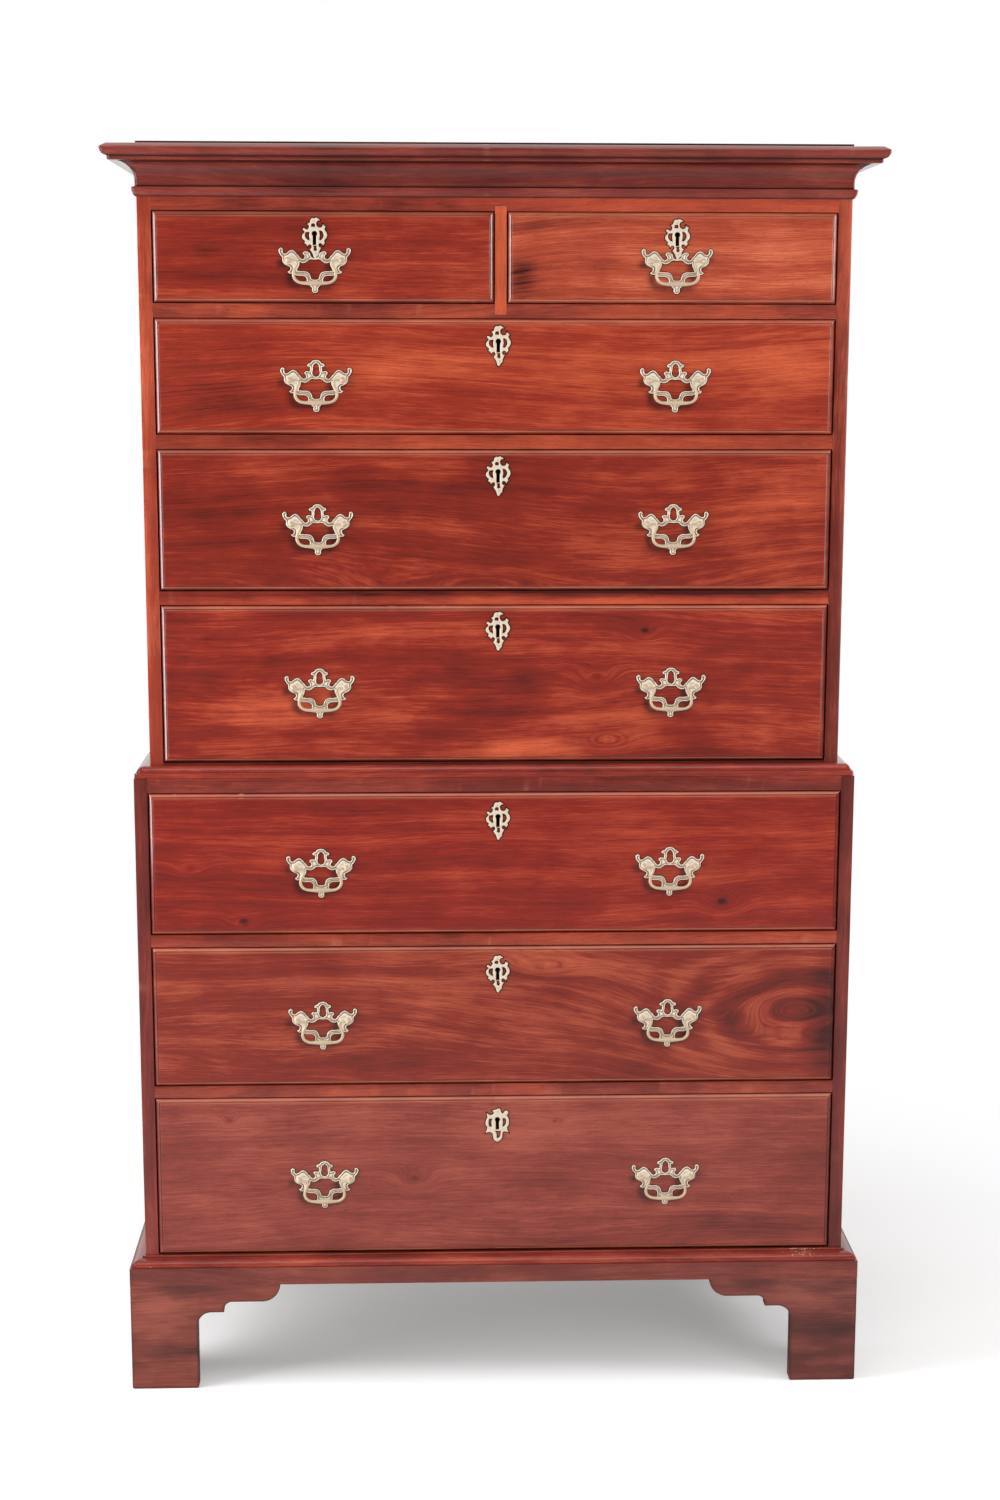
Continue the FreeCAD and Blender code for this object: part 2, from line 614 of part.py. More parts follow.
def build_base():
    save("plinth_and_base_moulding", mitred_moulding(base_steps(), lower_half, lower_front)
         + mitred_moulding(plinth_steps(), lower_half, lower_front)
         + [block(plinth_board_width - plinth_half, plinth_half - plinth_board_width,
                  back_y - plinth_board_width, back_y, foot_height, lower_base)])
    feet = []
    steps = bracket_steps(bracket_length)
    thick = bracket_thickness
    for hand in (-1, 1):
        corner = hand * plinth_half
        front_face = profile_face(steps, lambda u, z: Point(corner - hand * u, plinth_front, z))
        front_bracket = front_face.extrude(Point(0, thick, 0))
        side_face = profile_face(steps, lambda u, z: Point(corner, plinth_front + u, z))
        side_bracket = side_face.extrude(Point(-hand * thick, 0, 0))
        mitre = prism([Point(corner, plinth_front, 0), Point(corner - hand * thick, plinth_front + thick, 0),
                       Point(corner, plinth_front + thick, 0)], Point(0, 0, foot_height))
        feet.append(front_bracket.cut(mitre))
        lost = prism([Point(corner, plinth_front, 0), Point(corner - hand * thick, plinth_front + thick, 0),
                      Point(corner - hand * thick, plinth_front, 0)], Point(0, 0, foot_height))
        feet.append(side_bracket.cut(lost))
        rear_face = profile_face(steps, lambda u, z: Point(corner, back_y - u, z))
        feet.append(rear_face.extrude(Point(-hand * thick, 0, 0)))
        inner = corner - hand * thick
        far = inner - hand * (rear_bracket_length - thick)
        near = inner - hand * (leg_width - thick)
        feet.append(prism([Point(inner, back_y - thick, 0), Point(near, back_y - thick, 0),
                           Point(far, back_y - thick, foot_height), Point(inner, back_y - thick, foot_height)],
                          Point(0, thick, 0)))
        x0, x1 = sorted((inner, inner - hand * glue_block))
        front_y = plinth_front + thick
        rear_y = back_y - thick
        feet.append(block(x0, x1, front_y, front_y + glue_block, glue_block_lift, foot_height))
        feet.append(block(x0, x1, rear_y - glue_block, rear_y, glue_block_lift, foot_height))
    save("bracket_feet", feet)


# ---- drawers ----


def spline_face(loops, x, y, z):
    """A face on the plane at y from closed loops of spline segments: the first is the outline."""
    wires = []
    for segments in loops:
        edges = []
        for segment in segments:
            points = [Point(x + across, y, z + up) for across, up in segment]
            if len(points) == 2:
                edges.append(Part.LineSegment(points[0], points[1]).toShape())
            else:
                curve = Part.BSplineCurve()
                curve.interpolate(points)
                edges.append(curve.toShape())
        wires.append(Part.Wire(edges))
    whole = Part.Face(wires[0])
    for wire in wires[1:]:
        whole = whole.cut(Part.Face(wire))
    return whole.Faces[0]


def both_halves(segments):
    """Right-hand segments and their mirror images, as one closed loop."""
    mirrored = [[(-across, up) for across, up in reversed(segment)] for segment in reversed(segments)]
    return segments + mirrored


def scaled(segments, factor):
    return [[(across * factor, up * factor) for across, up in segment] for segment in segments]


def width_of(segments):
    reaches = [across for segment in segments for across, up in segment]
    return max(reaches) - min(reaches)


def keyhole(x, z, y0, y1):
    """The solid that cuts a keyhole: a round head and a slot below it."""
    return fused([cylinder_y(keyhole_radius, x, z, y0, y1),
                  block(x - keyhole_slot / 2, x + keyhole_slot / 2, y0, y1, z - keyhole_length, z)])


def drawer_front_board(x0, x1, z0, z1, front):
    """A board whose four front edges are rounded, with a raised field inside them."""
    ledge_y = front - field_proud + field_step
    board = block(x0, x1, ledge_y, front + drawer_front, z0, z1)
    rim = [edge for edge in board.Edges if edge.BoundBox.YMax < ledge_y + hair]
    board = board.makeFillet(thumb_radius, rim)
    margin = thumb_radius + thumb_flat
    field = block(x0 + margin, x1 - margin, front - field_proud, ledge_y, z0 + margin, z1 - margin)
    return fused([board, field])


def bail_wire(points, radii):
    """Straight runs through points, with a tangent arc of each radius at the corner between."""
    edges = []
    here = points[0]
    for corner, after, radius in zip(points[1:-1], points[2:], radii):
        before = (here - corner).normalize()
        beyond = (after - corner).normalize()
        half_angle = before.getAngle(beyond) / 2
        run = radius / math.tan(half_angle)
        start = corner + before * run
        end = corner + beyond * run
        bisector = (before + beyond).normalize()
        middle = corner + bisector * (radius / math.sin(half_angle) - radius)
        edges.append(Part.LineSegment(here, start).toShape())
        edges.append(Part.Arc(start, middle, end).toShape())
        here = end
    edges.append(Part.LineSegment(here, points[-1]).toShape())
    return Part.Wire(edges)


def bail(x, y, z):
    """A swan-neck bail: pins through the post heads, necks turning in and down, a swelling grip."""
    post_reach = post_spacing / 2
    half = [(post_reach + post_head + pin_end, 0), (post_reach - bail_elbow_inset, 0),
            (post_reach - bail_belly_inset, -bail_belly_drop), (post_reach - bail_foot_inset, -bail_drop)]
    line = [Point(x - across, y, z + up) for across, up in half]
    line += [Point(x + across, y, z + up) for across, up in reversed(half)]
    path = bail_wire(line, bail_bends + bail_bends[::-1])
    section = Part.Wire(Part.makeCircle(bail_radius, line[0], Point(1, 0, 0)))
    rod = path.makePipeShell([section], True, True)
    low = z - bail_drop
    end_high = low + bail_radius - grip_sink
    left = x - post_reach + grip_inset
    right = x + post_reach - grip_inset
    swell = Part.Arc(Point(left, y, end_high), Point(x, y, low + grip_radius), Point(right, y, end_high)).toShape()
    corners = [Point(right, y, end_high), Point(right, y, low), Point(left, y, low), Point(left, y, end_high)]
    outline = Part.Wire([swell] + Part.makePolygon(corners).Edges)
    grip = Part.Face(outline).revolve(Point(x, y, low), Point(1, 0, 0), 360)
    return fused([rod, grip]).Solids[0]


def post(x, z, plate_y, inside_y):
    """A handle post: a ball head bored for the bail, a collar on the plate, a shank through the front."""
    pivot_y = plate_y - pivot_offset
    body = fused([Part.makeSphere(post_head, Point(x, pivot_y, z)),
                  cylinder_y(post_neck, x, z, pivot_y, plate_y),
                  cylinder_y(post_collar, x, z, plate_y - post_collar_thickness, plate_y),
                  cylinder_y(post_shank, x, z, plate_y, inside_y + post_tail)])
    bore = Part.makeCylinder(bail_radius + pivot_clearance, 4 * post_head,
                             Point(x - 2 * post_head, pivot_y, z), Point(1, 0, 0))
    return body.cut(bore)


def nut(x, z, inside_y):
    """A six-sided nut on the shank, against the inside of the drawer front."""
    radius = nut_across / 2 / math.cos(math.radians(30))
    corners = [Point(x + radius * math.cos(math.radians(60 * step)), inside_y,
                     z + radius * math.sin(math.radians(60 * step))) for step in range(6)]
    hole = cylinder_y(post_shank + fit_clearance, x, z, inside_y, inside_y + nut_thickness)
    return prism(corners, Point(0, nut_thickness, 0)).cut(hole)


def round_pin(x, z, face_y, shank, head, head_height, length):
    """A pin that runs back from face_y, with its head in front of it."""
    return fused([cylinder_y(head, x, z, face_y - head_height, face_y),
                  cylinder_y(shank, x, z, face_y, face_y + length)])


def lock_and_bolt(x, top, inside_y, key_z):
    """The lock case let into the back of the drawer front, and the bolt inside it."""
    y0 = inside_y - lock_thickness
    case = block(x - lock_width / 2, x + lock_width / 2, y0, inside_y, top - lock_height, top)
    y_middle = inside_y - lock_thickness / 2
    gap = bolt_clearance
    half_width = bolt_width / 2
    half_thickness = bolt_thickness / 2
    bolt_top = top - gap
    bolt_low = key_z + keyhole_radius + gap
    bolt = block(x - half_width, x + half_width, y_middle - half_thickness, y_middle + half_thickness,
                 bolt_low, bolt_top)
    room = block(x - half_width - gap, x + half_width + gap, y_middle - half_thickness - gap,
                 y_middle + half_thickness + gap, bolt_low - gap, top + overcut)
    key_room = block(x - key_chamber_width / 2, x + key_chamber_width / 2, y_middle - half_thickness - gap,
                     y_middle + half_thickness + gap, key_z - keyhole_length - overcut, bolt_low - gap)
    case = case.cut([room, key_room, keyhole(x, key_z, y0 - overcut, y_middle)])
    return case.fuse(cylinder_y(lock_pin_radius, x, key_z, y0, inside_y)).Solids[0], bolt


def keyhole_plate(x, z, face_y, key_z, edge, holes):
    plate = spline_face([edge] + holes, x, face_y, z).extrude(Point(0, -escutcheon_thickness, 0))
    return plate.cut(keyhole(x, key_z, face_y - escutcheon_thickness - overcut, face_y + overcut))


def handle_plate(x, z, face_y):
    factor = post_spacing / 2 / outline_post_reach
    loops = [both_halves(scaled(loop, factor)) for loop in (plate_edge, plate_window, plate_loop_hole)]
    return spline_face(loops, x, face_y, z).extrude(Point(0, -plate_thickness, 0))


def trimmed_plate(x, z, face_y, tip_z):
    """A handle plate without its loop, hollowed for the tip of the keyhole plate above it."""
    y0 = face_y - plate_thickness
    far = z + trimmed_ears * 3
    ears = block(x - trimmed_ears, x + trimmed_ears, y0, face_y, z + trimmed_ears, far)
    loop = block(x - trimmed_reach, x + trimmed_reach, y0, face_y, z + trimmed_loop, far)
    cup = cylinder_y(cup_radius, x, tip_z + cup_radius - cup_clearance, y0, face_y)
    return handle_plate(x, z, face_y).cut([ears, loop, cup])


def build_drawer(name, x0, x1, row, front, lock_x, key_drop, handles, trimmed, eared):
    """One drawer: its front, its box, its brasses, its lock bolt and its bails."""
    z0, z1 = row
    fx0 = x0 + side_gap
    fx1 = x1 - side_gap
    fz0 = z0 + front_lift
    fz1 = z1 - top_gap
    inside_y = front + drawer_front
    field_y = front - field_proud
    board = drawer_front_board(fx0, fx1, fz0, fz1, front)
    # the box
    side_low = z0 + runner_clearance
    side_high = fz1 - side_top_drop
    end_y = inside_back - drawer_back_gap
    back_low = side_low + drawer_bottom_lift + drawer_bottom
    back_high = side_high - back_top_drop
    count = max(2, round((side_high - side_low) / dovetail_pitch))
    panel = block(fx0 + drawer_side - drawer_groove, fx1 - drawer_side + drawer_groove,
                  inside_y - drawer_groove, end_y, side_low + drawer_bottom_lift, back_low)
    sides = []
    for edge_x in (fx0, fx1 - drawer_side):
        far_x = edge_x + drawer_side
        parts = [block(edge_x, far_x, inside_y, end_y - drawer_side, side_low, side_high),
                 block(edge_x, far_x, end_y - drawer_side, end_y, side_low, back_low)]
        parts += tail_row(edge_x, far_x, inside_y, inside_y - dovetail_lap, fz0, side_high, count, False)
        parts += tail_row(edge_x, far_x, end_y - drawer_side, end_y, back_low, back_high, count, False)
        sides.append(fused(parts).cut(panel))
    back = block(fx0, fx1, end_y - drawer_side, end_y, back_low, back_high).cut(sides)
    board = board.cut(sides + [panel])
    # the lock
    key_z = z1 - key_drop + keyhole_rise
    lock, bolt = lock_and_bolt(lock_x, fz1, inside_y, key_z)
    board = board.cut(block(lock_x - lock_width / 2, lock_x + lock_width / 2, inside_y - lock_thickness,
                            inside_y, fz1 - lock_height, fz1))
    board = board.cut(keyhole(lock_x, key_z, field_y - overcut, inside_y))
    screws = []
    for across in (-1, 1):
        for level in (fz1 - screw_top_inset, fz1 - lock_height + screw_inset):
            screw_x = lock_x + across * (lock_width / 2 - screw_inset)
            head = cylinder_y(screw_head, screw_x, level, inside_y - screw_head_height, inside_y)
            shank = cylinder_y(screw_shank, screw_x, level, inside_y - lock_thickness - screw_bite, inside_y)
            screws.append(fused([head, shank]))
    lock = lock.cut(screws)
    board = board.cut(screws)
    # the keyhole plate and its pins
    if eared:
        edge, holes, pins, width = eared_edge, eared_holes, eared_pins, eared_width
    else:
        edge, holes, pins, width = scrolled_edge, scrolled_holes, scrolled_pins, scrolled_width
    factor = width / width_of(edge)
    edge = scaled(edge, factor)
    holes = [scaled(hole, factor) for hole in holes]
    tip_drop = min(up for segment in edge for across, up in segment)
    plate_z = z1 - key_drop
    key_plate = keyhole_plate(lock_x, plate_z, field_y, key_z, edge, holes)
    plate_pins = [round_pin(lock_x + across * factor, plate_z + up * factor, field_y - escutcheon_thickness,
                            escutcheon_pin, pin_head, pin_head_height, escutcheon_pin_length)
                  for across, up in pins]
    key_plate = key_plate.cut(plate_pins)
    board = board.cut(plate_pins)
    brasses = [key_plate, lock] + plate_pins + screws
    # the handles
    post_z = (z0 + z1) / 2 - post_drop
    plate_y = field_y - plate_thickness
    for label, handle_x in handles:
        if trimmed:
            plate = trimmed_plate(handle_x, post_z, field_y, plate_z + tip_drop)
        else:
            plate = handle_plate(handle_x, post_z, field_y)
        for hand in (-1, 1):
            post_x = handle_x + hand * post_spacing / 2
            hole = cylinder_y(post_shank + fit_clearance, post_x, post_z, plate_y, inside_y)
            plate = plate.cut(hole)
            board = board.cut(hole)
            brasses.append(post(post_x, post_z, plate_y, inside_y))
            brasses.append(nut(post_x, post_z, inside_y))
        brasses += plate.Solids
        save(name + "_" + label, [bail(handle_x, plate_y - pivot_offset, post_z)])
    save(name + "_front", [board])
    save(name + "_box", sides + [back, panel])
    save(name + "_brasses", brasses)
    save(name + "_lock_bolt", [bolt])


def build_drawers():
    upper_inner = upper_half - case_side
    lower_inner = lower_half - case_side
    muntin_left = muntin_offset - muntin_width / 2
    muntin_right = muntin_offset + muntin_width / 2
    pair = [("bail_left", -handle_reach), ("bail_right", handle_reach)]
    top_row = upper_rows[-1]
    build_drawer("drawer_1_left", -upper_inner, muntin_left, top_row, upper_front, -handle_reach,
                 upper_key_drop, [("bail", -handle_reach)], True, False)
    build_drawer("drawer_1_right", muntin_right, upper_inner, top_row, upper_front, handle_reach,
                 upper_key_drop, [("bail", handle_reach)], True, False)
    for number, row in zip((2, 3, 4), reversed(upper_rows[:-1])):
        build_drawer("drawer_%d" % number, -upper_inner, upper_inner, row, upper_front, lock_offset,
                     upper_key_drop, pair, False, False)
    for number, row in zip((5, 6, 7), reversed(lower_rows)):
        build_drawer("drawer_%d" % number, -lower_inner, lower_inner, row, lower_front, lock_offset,
                     lower_key_drop, pair, False, number == 7)


os.makedirs("parts", exist_ok=True)
build_upper_case()
build_lower_case()
build_base()
build_drawers()
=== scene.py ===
import math

import bmesh
import bpy
import numpy as np
from mathutils import Matrix, Vector


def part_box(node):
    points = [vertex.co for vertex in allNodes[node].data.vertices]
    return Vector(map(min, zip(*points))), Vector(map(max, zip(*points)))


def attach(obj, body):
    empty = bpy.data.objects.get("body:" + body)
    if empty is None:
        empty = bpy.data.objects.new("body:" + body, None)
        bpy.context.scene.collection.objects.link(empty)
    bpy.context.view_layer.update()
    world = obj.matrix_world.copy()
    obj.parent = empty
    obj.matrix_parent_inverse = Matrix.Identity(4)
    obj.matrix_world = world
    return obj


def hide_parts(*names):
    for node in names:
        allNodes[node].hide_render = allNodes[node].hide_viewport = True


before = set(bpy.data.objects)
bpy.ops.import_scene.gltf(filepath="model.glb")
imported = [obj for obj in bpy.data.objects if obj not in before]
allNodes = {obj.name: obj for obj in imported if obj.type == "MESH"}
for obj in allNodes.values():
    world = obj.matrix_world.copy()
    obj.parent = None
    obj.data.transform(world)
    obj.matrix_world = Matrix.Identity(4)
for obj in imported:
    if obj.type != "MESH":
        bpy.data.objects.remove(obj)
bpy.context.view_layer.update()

mm = 0.001
print("frame loaded:", len(allNodes), "nodes")

# sizes that several pieces share, in metres, from the frame
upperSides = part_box("upper_case_sides")
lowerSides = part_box("lower_case_sides")
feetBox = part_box("bracket_feet")
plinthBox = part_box("plinth_and_base_moulding")
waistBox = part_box("waist_moulding")
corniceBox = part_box("cornice")
backY = upperSides[1].y
upperHalf, lowerHalf, plinthHalf = upperSides[1].x, lowerSides[1].x, feetBox[1].x
upperFront, lowerFront, plinthFront = upperSides[0].y, lowerSides[0].y, feetBox[0].y
lowerBase, lowerTop, upperTop = lowerSides[0].z, lowerSides[1].z, upperSides[1].z
sideGap = 1.5 * mm  # between the end of a drawer front and the case
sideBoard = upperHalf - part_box("drawer_2_front")[1].x - sideGap
upperInner = upperHalf - sideBoard
lowerInner = lowerHalf - sideBoard


# colours and node helpers
def tint(red, green, blue):
    # a screen colour of 0 to 255 as linear light: c/12.92 near black, ((c + 0.055)/1.055)^2.4 above
    screen = np.array((red, green, blue)) / 255
    linear = np.where(screen < 0.04045, screen / 12.92, ((screen + 0.055) / 1.055) ** 2.4)
    return (*linear.tolist(), 1.0)


def startMaterial(name):
    # a material with an empty node tree
    material = bpy.data.materials.new(name)
    material.use_nodes = True
    material.node_tree.nodes.clear()
    return material, material.node_tree


def addNode(tree, kind, inputs=None, **settings):
    # one node: an input is a number, a colour or another node's output, and settings are its own fields
    node = tree.nodes.new(kind)
    for key, value in settings.items():
        setattr(node, key, value)
    for key, value in (inputs or {}).items():
        if isinstance(value, bpy.types.NodeSocket):
            tree.links.new(value, node.inputs[key])
        else:
            node.inputs[key].default_value = value
    return node


def calc(tree, operation, first, second=0.0, clamp=False):
    # one Math node on two numbers, held between 0 and 1 if clamp is on
    return addNode(tree, "ShaderNodeMath", {0: first, 1: second}, operation=operation, use_clamp=clamp).outputs[0]


def swing(tree, value, strength):
    # how far a noise is from its middle: (value - 0.5) * strength
    return calc(tree, "MULTIPLY", calc(tree, "SUBTRACT", value, 0.5), strength)


def fade(tree, squared, fall=1.0):
    # exp(-fall * squared)
    return calc(tree, "EXPONENT", calc(tree, "MULTIPLY", squared, -fall))


def farSquared(tree, first, second):
    # ((place - middle) / reach)^2 added up for two axes, each given as place, middle and reach
    squares = []
    for place, middle, reach in (first, second):
        share = calc(tree, "DIVIDE", calc(tree, "SUBTRACT", place, middle), reach)
        squares.append(calc(tree, "MULTIPLY", share, share))
    return calc(tree, "ADD", *squares)


def spread(tree, vector, scale, detail=2.0, rough=0.5):
    # noise on coordinates that are first stretched by scale, one number for each axis
    stretched = addNode(tree, "ShaderNodeMapping", {"Vector": vector, "Scale": scale}).outputs[0]
    inputs = {"Vector": stretched, "Scale": 1.0, "Detail": detail, "Roughness": rough}
    return addNode(tree, "ShaderNodeTexNoise", inputs).outputs[0]


def remap(tree, value, low, high, toLow=0.0, toHigh=1.0, smooth=False):
    # value taken from low and high to toLow and toHigh, along a straight line or an S
    kind = "SMOOTHSTEP" if smooth else "LINEAR"
    inputs = {"Value": value, "From Min": low, "From Max": high, "To Min": toLow, "To Max": toHigh}
    return addNode(tree, "ShaderNodeMapRange", inputs, interpolation_type=kind).outputs[0]


def blendColour(tree, factor, first, second):
    # first * (1 - factor) + second * factor
    return addNode(tree, "ShaderNodeMix", {0: factor, 6: first, 7: second}, data_type="RGBA").outputs[2]


def rampColour(tree, factor, stops):
    # the colours of the stops, blended in a straight line between their places
    node = addNode(tree, "ShaderNodeValToRGB", {0: factor})
    elements = node.color_ramp.elements
    while len(elements) < len(stops):
        elements.new(0.5)
    for element, (place, colour) in zip(elements, stops):
        element.position = place
        element.color = colour
    return node.outputs[0]


def gather(tree, along, across, depth, shift):
    # three numbers as one place, moved by shift
    place = addNode(tree, "ShaderNodeCombineXYZ", {0: along, 1: across, 2: depth}).outputs[0]
    return addNode(tree, "ShaderNodeMapping", {"Vector": place, "Location": shift}).outputs[0]


def addBump(tree, height, strength, depth):
    # a normal tilted by the slope of height
    inputs = {"Height": height, "Strength": strength, "Distance": depth}
    return addNode(tree, "ShaderNodeBump", inputs).outputs[0]


# wood
woodSettings = {
    "dark": (70, 16, 10),
    "mid": (150, 44, 24),
    "light": (212, 92, 54),
    "bandDepth": 0.30,
    "fineDepth": 0.18,
    "fibreDepth": 0.32,
    "mottleDepth": 0.46,
    "poreDepth": 0.50,
    "poreRange": (0.60, 0.74),
    "blotch": 0.09,
    "blotchRange": (0.34, 0.62),
    "blotchLift": 0.5,
    "warp": 0.045,
    "wave": 0.004,
    "heart": 7.0,
    "ringStep": 1.3,
    "ringCount": 10.0,
    "ringWobble": 5.0,
    "knotWobble": 0.5,
    "ragged": 1.2,
    "glintAndChipRange": (0.90, 0.98),
    # pale colour for rubbed wood and for painted highlights on drawer fronts
    "worn": (214, 136, 100),
    # colour of pale specks: painted glints, partly chipped wood
    "glintAndChip": (236, 196, 172),
    # dark colour for dirt and for painted shade on drawer fronts and mouldings
    "grimeAndShade": (30, 8, 7),
    "coat": 1.0,
    "coatRoughness": 0.12,
    "coatIor": 1.55,
    "roughness": 0.45,
    "glossRange": (0.3, 0.7),
    "glossSpread": (-0.06, 0.08),
    "specular": 0.15,
    "bump": 0.35,
    "bumpDepth": 0.08 * mm,
    "fibreHeight": 0.4,
    "swell": 0.6,
    "swellDepth": 0.6 * mm,
}
# each noise: its scale along the grain, across it and in depth, its detail and its roughness
woodNoises = {
    "slow": ((1.6, 4.5, 4.5), 1.0),
    "quick": ((6.0, 22.0, 22.0), 1.0),
    "bands": ((1.3, 44.0, 40.0), 2.0, 0.5),
    "fine": ((3.6, 230.0, 200.0), 2.0, 0.6),
    "fibre": ((24.0, 640.0, 600.0), 2.0, 0.7),
    "pores": ((95.0, 1500.0, 1400.0), 1.0),
    "mottle": ((6.0, 10.0, 10.0), 3.0, 0.6),
    "patches": ((9.0, 24.0, 24.0), 3.0, 0.55),
    "specks": ((300.0, 520.0, 520.0), 2.0, 0.7),
    "swell": ((5.0, 9.0, 9.0), 1.0),
}
# the object's axes along the grain, across it and in depth
grainAxes = {"X": "XZY", "Z": "ZXY", "Y": "YZX", "side": "ZYX"}


def woodMaterial(name, grain="X", shift=(0.0, 0.0, 0.0), knots=(), clouds=(), chips=(), **changes):
    # Lines of equal phase run with the grain. The phase is the place across the grain, bent by slow
    # noise, and near a knot it turns into the distance from the knot, so that the lines close round
    # it. Each cloud makes a long patch lighter or darker: exp(-a^2 - b^2) times its strength. Each
    # group of chips lifts a fine noise over the level at which it shows pale specks: painted glints, partly chipped
    # bare wood.
    look = {**woodSettings, **changes}
    paint = {key: tint(*look[key]) for key in ("dark", "mid", "light", "worn", "glintAndChip", "grimeAndShade")}
    material, tree = startMaterial(name)
    place = addNode(tree, "ShaderNodeTexCoord").outputs["Object"]
    axes = addNode(tree, "ShaderNodeSeparateXYZ", {0: place})
    along, across, depth = [axes.outputs[axis] for axis in grainAxes[grain]]
    board = gather(tree, along, across, depth, shift)
    slow = spread(tree, board, *woodNoises["slow"])
    quick = spread(tree, board, *woodNoises["quick"])
    bent = calc(tree, "ADD", swing(tree, slow, look["warp"] * 2), swing(tree, quick, look["wave"]))
    straight = calc(tree, "ADD", across, bent)
    phase = straight
    hearts = []
    for alongKnot, acrossKnot, size, stretch, darkness, hold, rings in knots:
        squared = farSquared(tree, (along, alongKnot, size * stretch), (across, acrossKnot, size))
        radius = calc(tree, "SQRT", calc(tree, "ADD", squared, calc(tree, "MULTIPLY", quick, look["knotWobble"])))
        near = fade(tree, squared, hold)
        ringed = calc(tree, "ADD", calc(tree, "MULTIPLY", radius, size * look["ringStep"]), acrossKnot)
        phase = addNode(tree, "ShaderNodeMix", {0: near, 2: phase, 3: ringed}, data_type="FLOAT").outputs[0]
        heart = calc(tree, "MULTIPLY", fade(tree, squared, look["heart"]), darkness)
        if rings:
            turn = calc(tree, "ADD", calc(tree, "MULTIPLY", radius, look["ringCount"]),
                        calc(tree, "MULTIPLY", quick, look["ringWobble"]))
            ripple = calc(tree, "MULTIPLY", calc(tree, "MULTIPLY", calc(tree, "SINE", turn), near), rings)
            heart = calc(tree, "ADD", heart, ripple)
        hearts.append(heart)
    lines = gather(tree, along, phase, depth, shift)
    bands, fine, fibre, pores = [spread(tree, lines, *woodNoises[key]) for key in ("bands", "fine", "fibre", "pores")]
    mottle = spread(tree, board, *woodNoises["mottle"])
    tone = 0.5
    for layer, strength in ((bands, "bandDepth"), (fine, "fineDepth"), (fibre, "fibreDepth"), (mottle, "mottleDepth")):
        tone = calc(tree, "ADD", swing(tree, layer, look[strength] * 2), tone)
    if look["blotch"]:
        patches = spread(tree, board, *woodNoises["patches"])
        lift = look["blotch"] * look["blotchLift"]
        tone = calc(tree, "ADD", tone, remap(tree, patches, *look["blotchRange"], -look["blotch"], lift, smooth=True))
    for alongCloud, acrossCloud, longRadius, wideRadius, strength in clouds:
        squared = farSquared(tree, (along, alongCloud, longRadius), (straight, acrossCloud, wideRadius))
        squared = calc(tree, "ADD", squared, swing(tree, fine, look["ragged"]))
        tone = calc(tree, "ADD", tone, calc(tree, "MULTIPLY", fade(tree, squared), strength))
    for heart in hearts:
        tone = calc(tree, "SUBTRACT", tone, heart)
    colour = rampColour(tree, tone, [(0.0, paint["dark"]), (0.5, paint["mid"]), (1.0, paint["light"])])
    poreMask = remap(tree, pores, *look["poreRange"], 0.0, look["poreDepth"])
    colour = blendColour(tree, poreMask, colour, paint["dark"])
    if chips:
        specks = spread(tree, board, *woodNoises["specks"])
        for alongChip, acrossChip, longRadius, wideRadius, amount in chips:
            squared = farSquared(tree, (along, alongChip, longRadius), (across, acrossChip, wideRadius))
            specks = calc(tree, "ADD", specks, calc(tree, "MULTIPLY", fade(tree, squared), amount))
        colour = blendColour(tree, remap(tree, specks, *look["glintAndChipRange"]), colour, paint["glintAndChip"])
    # the pale mask paints rubbed wood and, on drawer fronts, painted highlights; the dark mask paints dirt, and
    # painted shade on drawer fronts and mouldings
    for label, key in (("wear", "worn"), ("grimeAndShade", "grimeAndShade")):
        mask = addNode(tree, "ShaderNodeAttribute", attribute_name=label).outputs["Fac"]
        colour = blendColour(tree, calc(tree, "MULTIPLY", mask, 1.0, clamp=True), colour, paint[key])
    height = calc(tree, "SUBTRACT", calc(tree, "MULTIPLY", fibre, look["fibreHeight"]), poreMask)
    bump = addBump(tree, height, look["bump"], look["bumpDepth"])
    swell = addBump(tree, spread(tree, board, *woodNoises["swell"]), look["swell"], look["swellDepth"])
    gloss = remap(tree, mottle, *look["glossRange"], *[look["roughness"] + change for change in look["glossSpread"]])
    shader = addNode(tree, "ShaderNodeBsdfPrincipled", {
        "Base Color": colour, "Roughness": gloss, "Specular IOR Level": look["specular"],
        "Coat Weight": look["coat"], "Coat Roughness": look["coatRoughness"], "Coat IOR": look["coatIor"],
        "Normal": bump, "Coat Normal": swell})
    addNode(tree, "ShaderNodeOutputMaterial", {"Surface": shader.outputs[0]})
    return material


# brass and iron
brassSettings = {
    "bright": (252, 242, 226),
    "body": (222, 200, 174),
    "hollow": (128, 92, 70),
    # colour of the skirt round a plate: a painted shadow outline, partly dark wax
    "waxAndShadow": (34, 11, 9),
    "stops": (0.0, 0.45, 0.9),
    "tarnish": 0.35,
    "roughness": 0.30,
    "hollowRoughness": 0.18,
    "waxAndShadowRoughness": 0.6,
    "shine": 0.5,
    "metal": 0.2,
    "bump": 0.25,
    "bumpDepth": 0.06 * mm,
}
ironSettings = {"stops": ((0.3, (58, 52, 48)), (0.55, (92, 84, 78)), (0.75, (96, 60, 40))), "roughness": (0.35, 0.65),
                "rustRange": (0.3, 0.7), "metal": 0.9, "bump": 0.4, "bumpDepth": 0.2 * mm}
metalNoises = {
    "tarnish": ((160.0, 160.0, 160.0), 3.0),
    "scratches": ((900.0, 900.0, 300.0), 2.0),
    "rust": ((120.0, 120.0, 120.0), 4.0, 0.65),
}


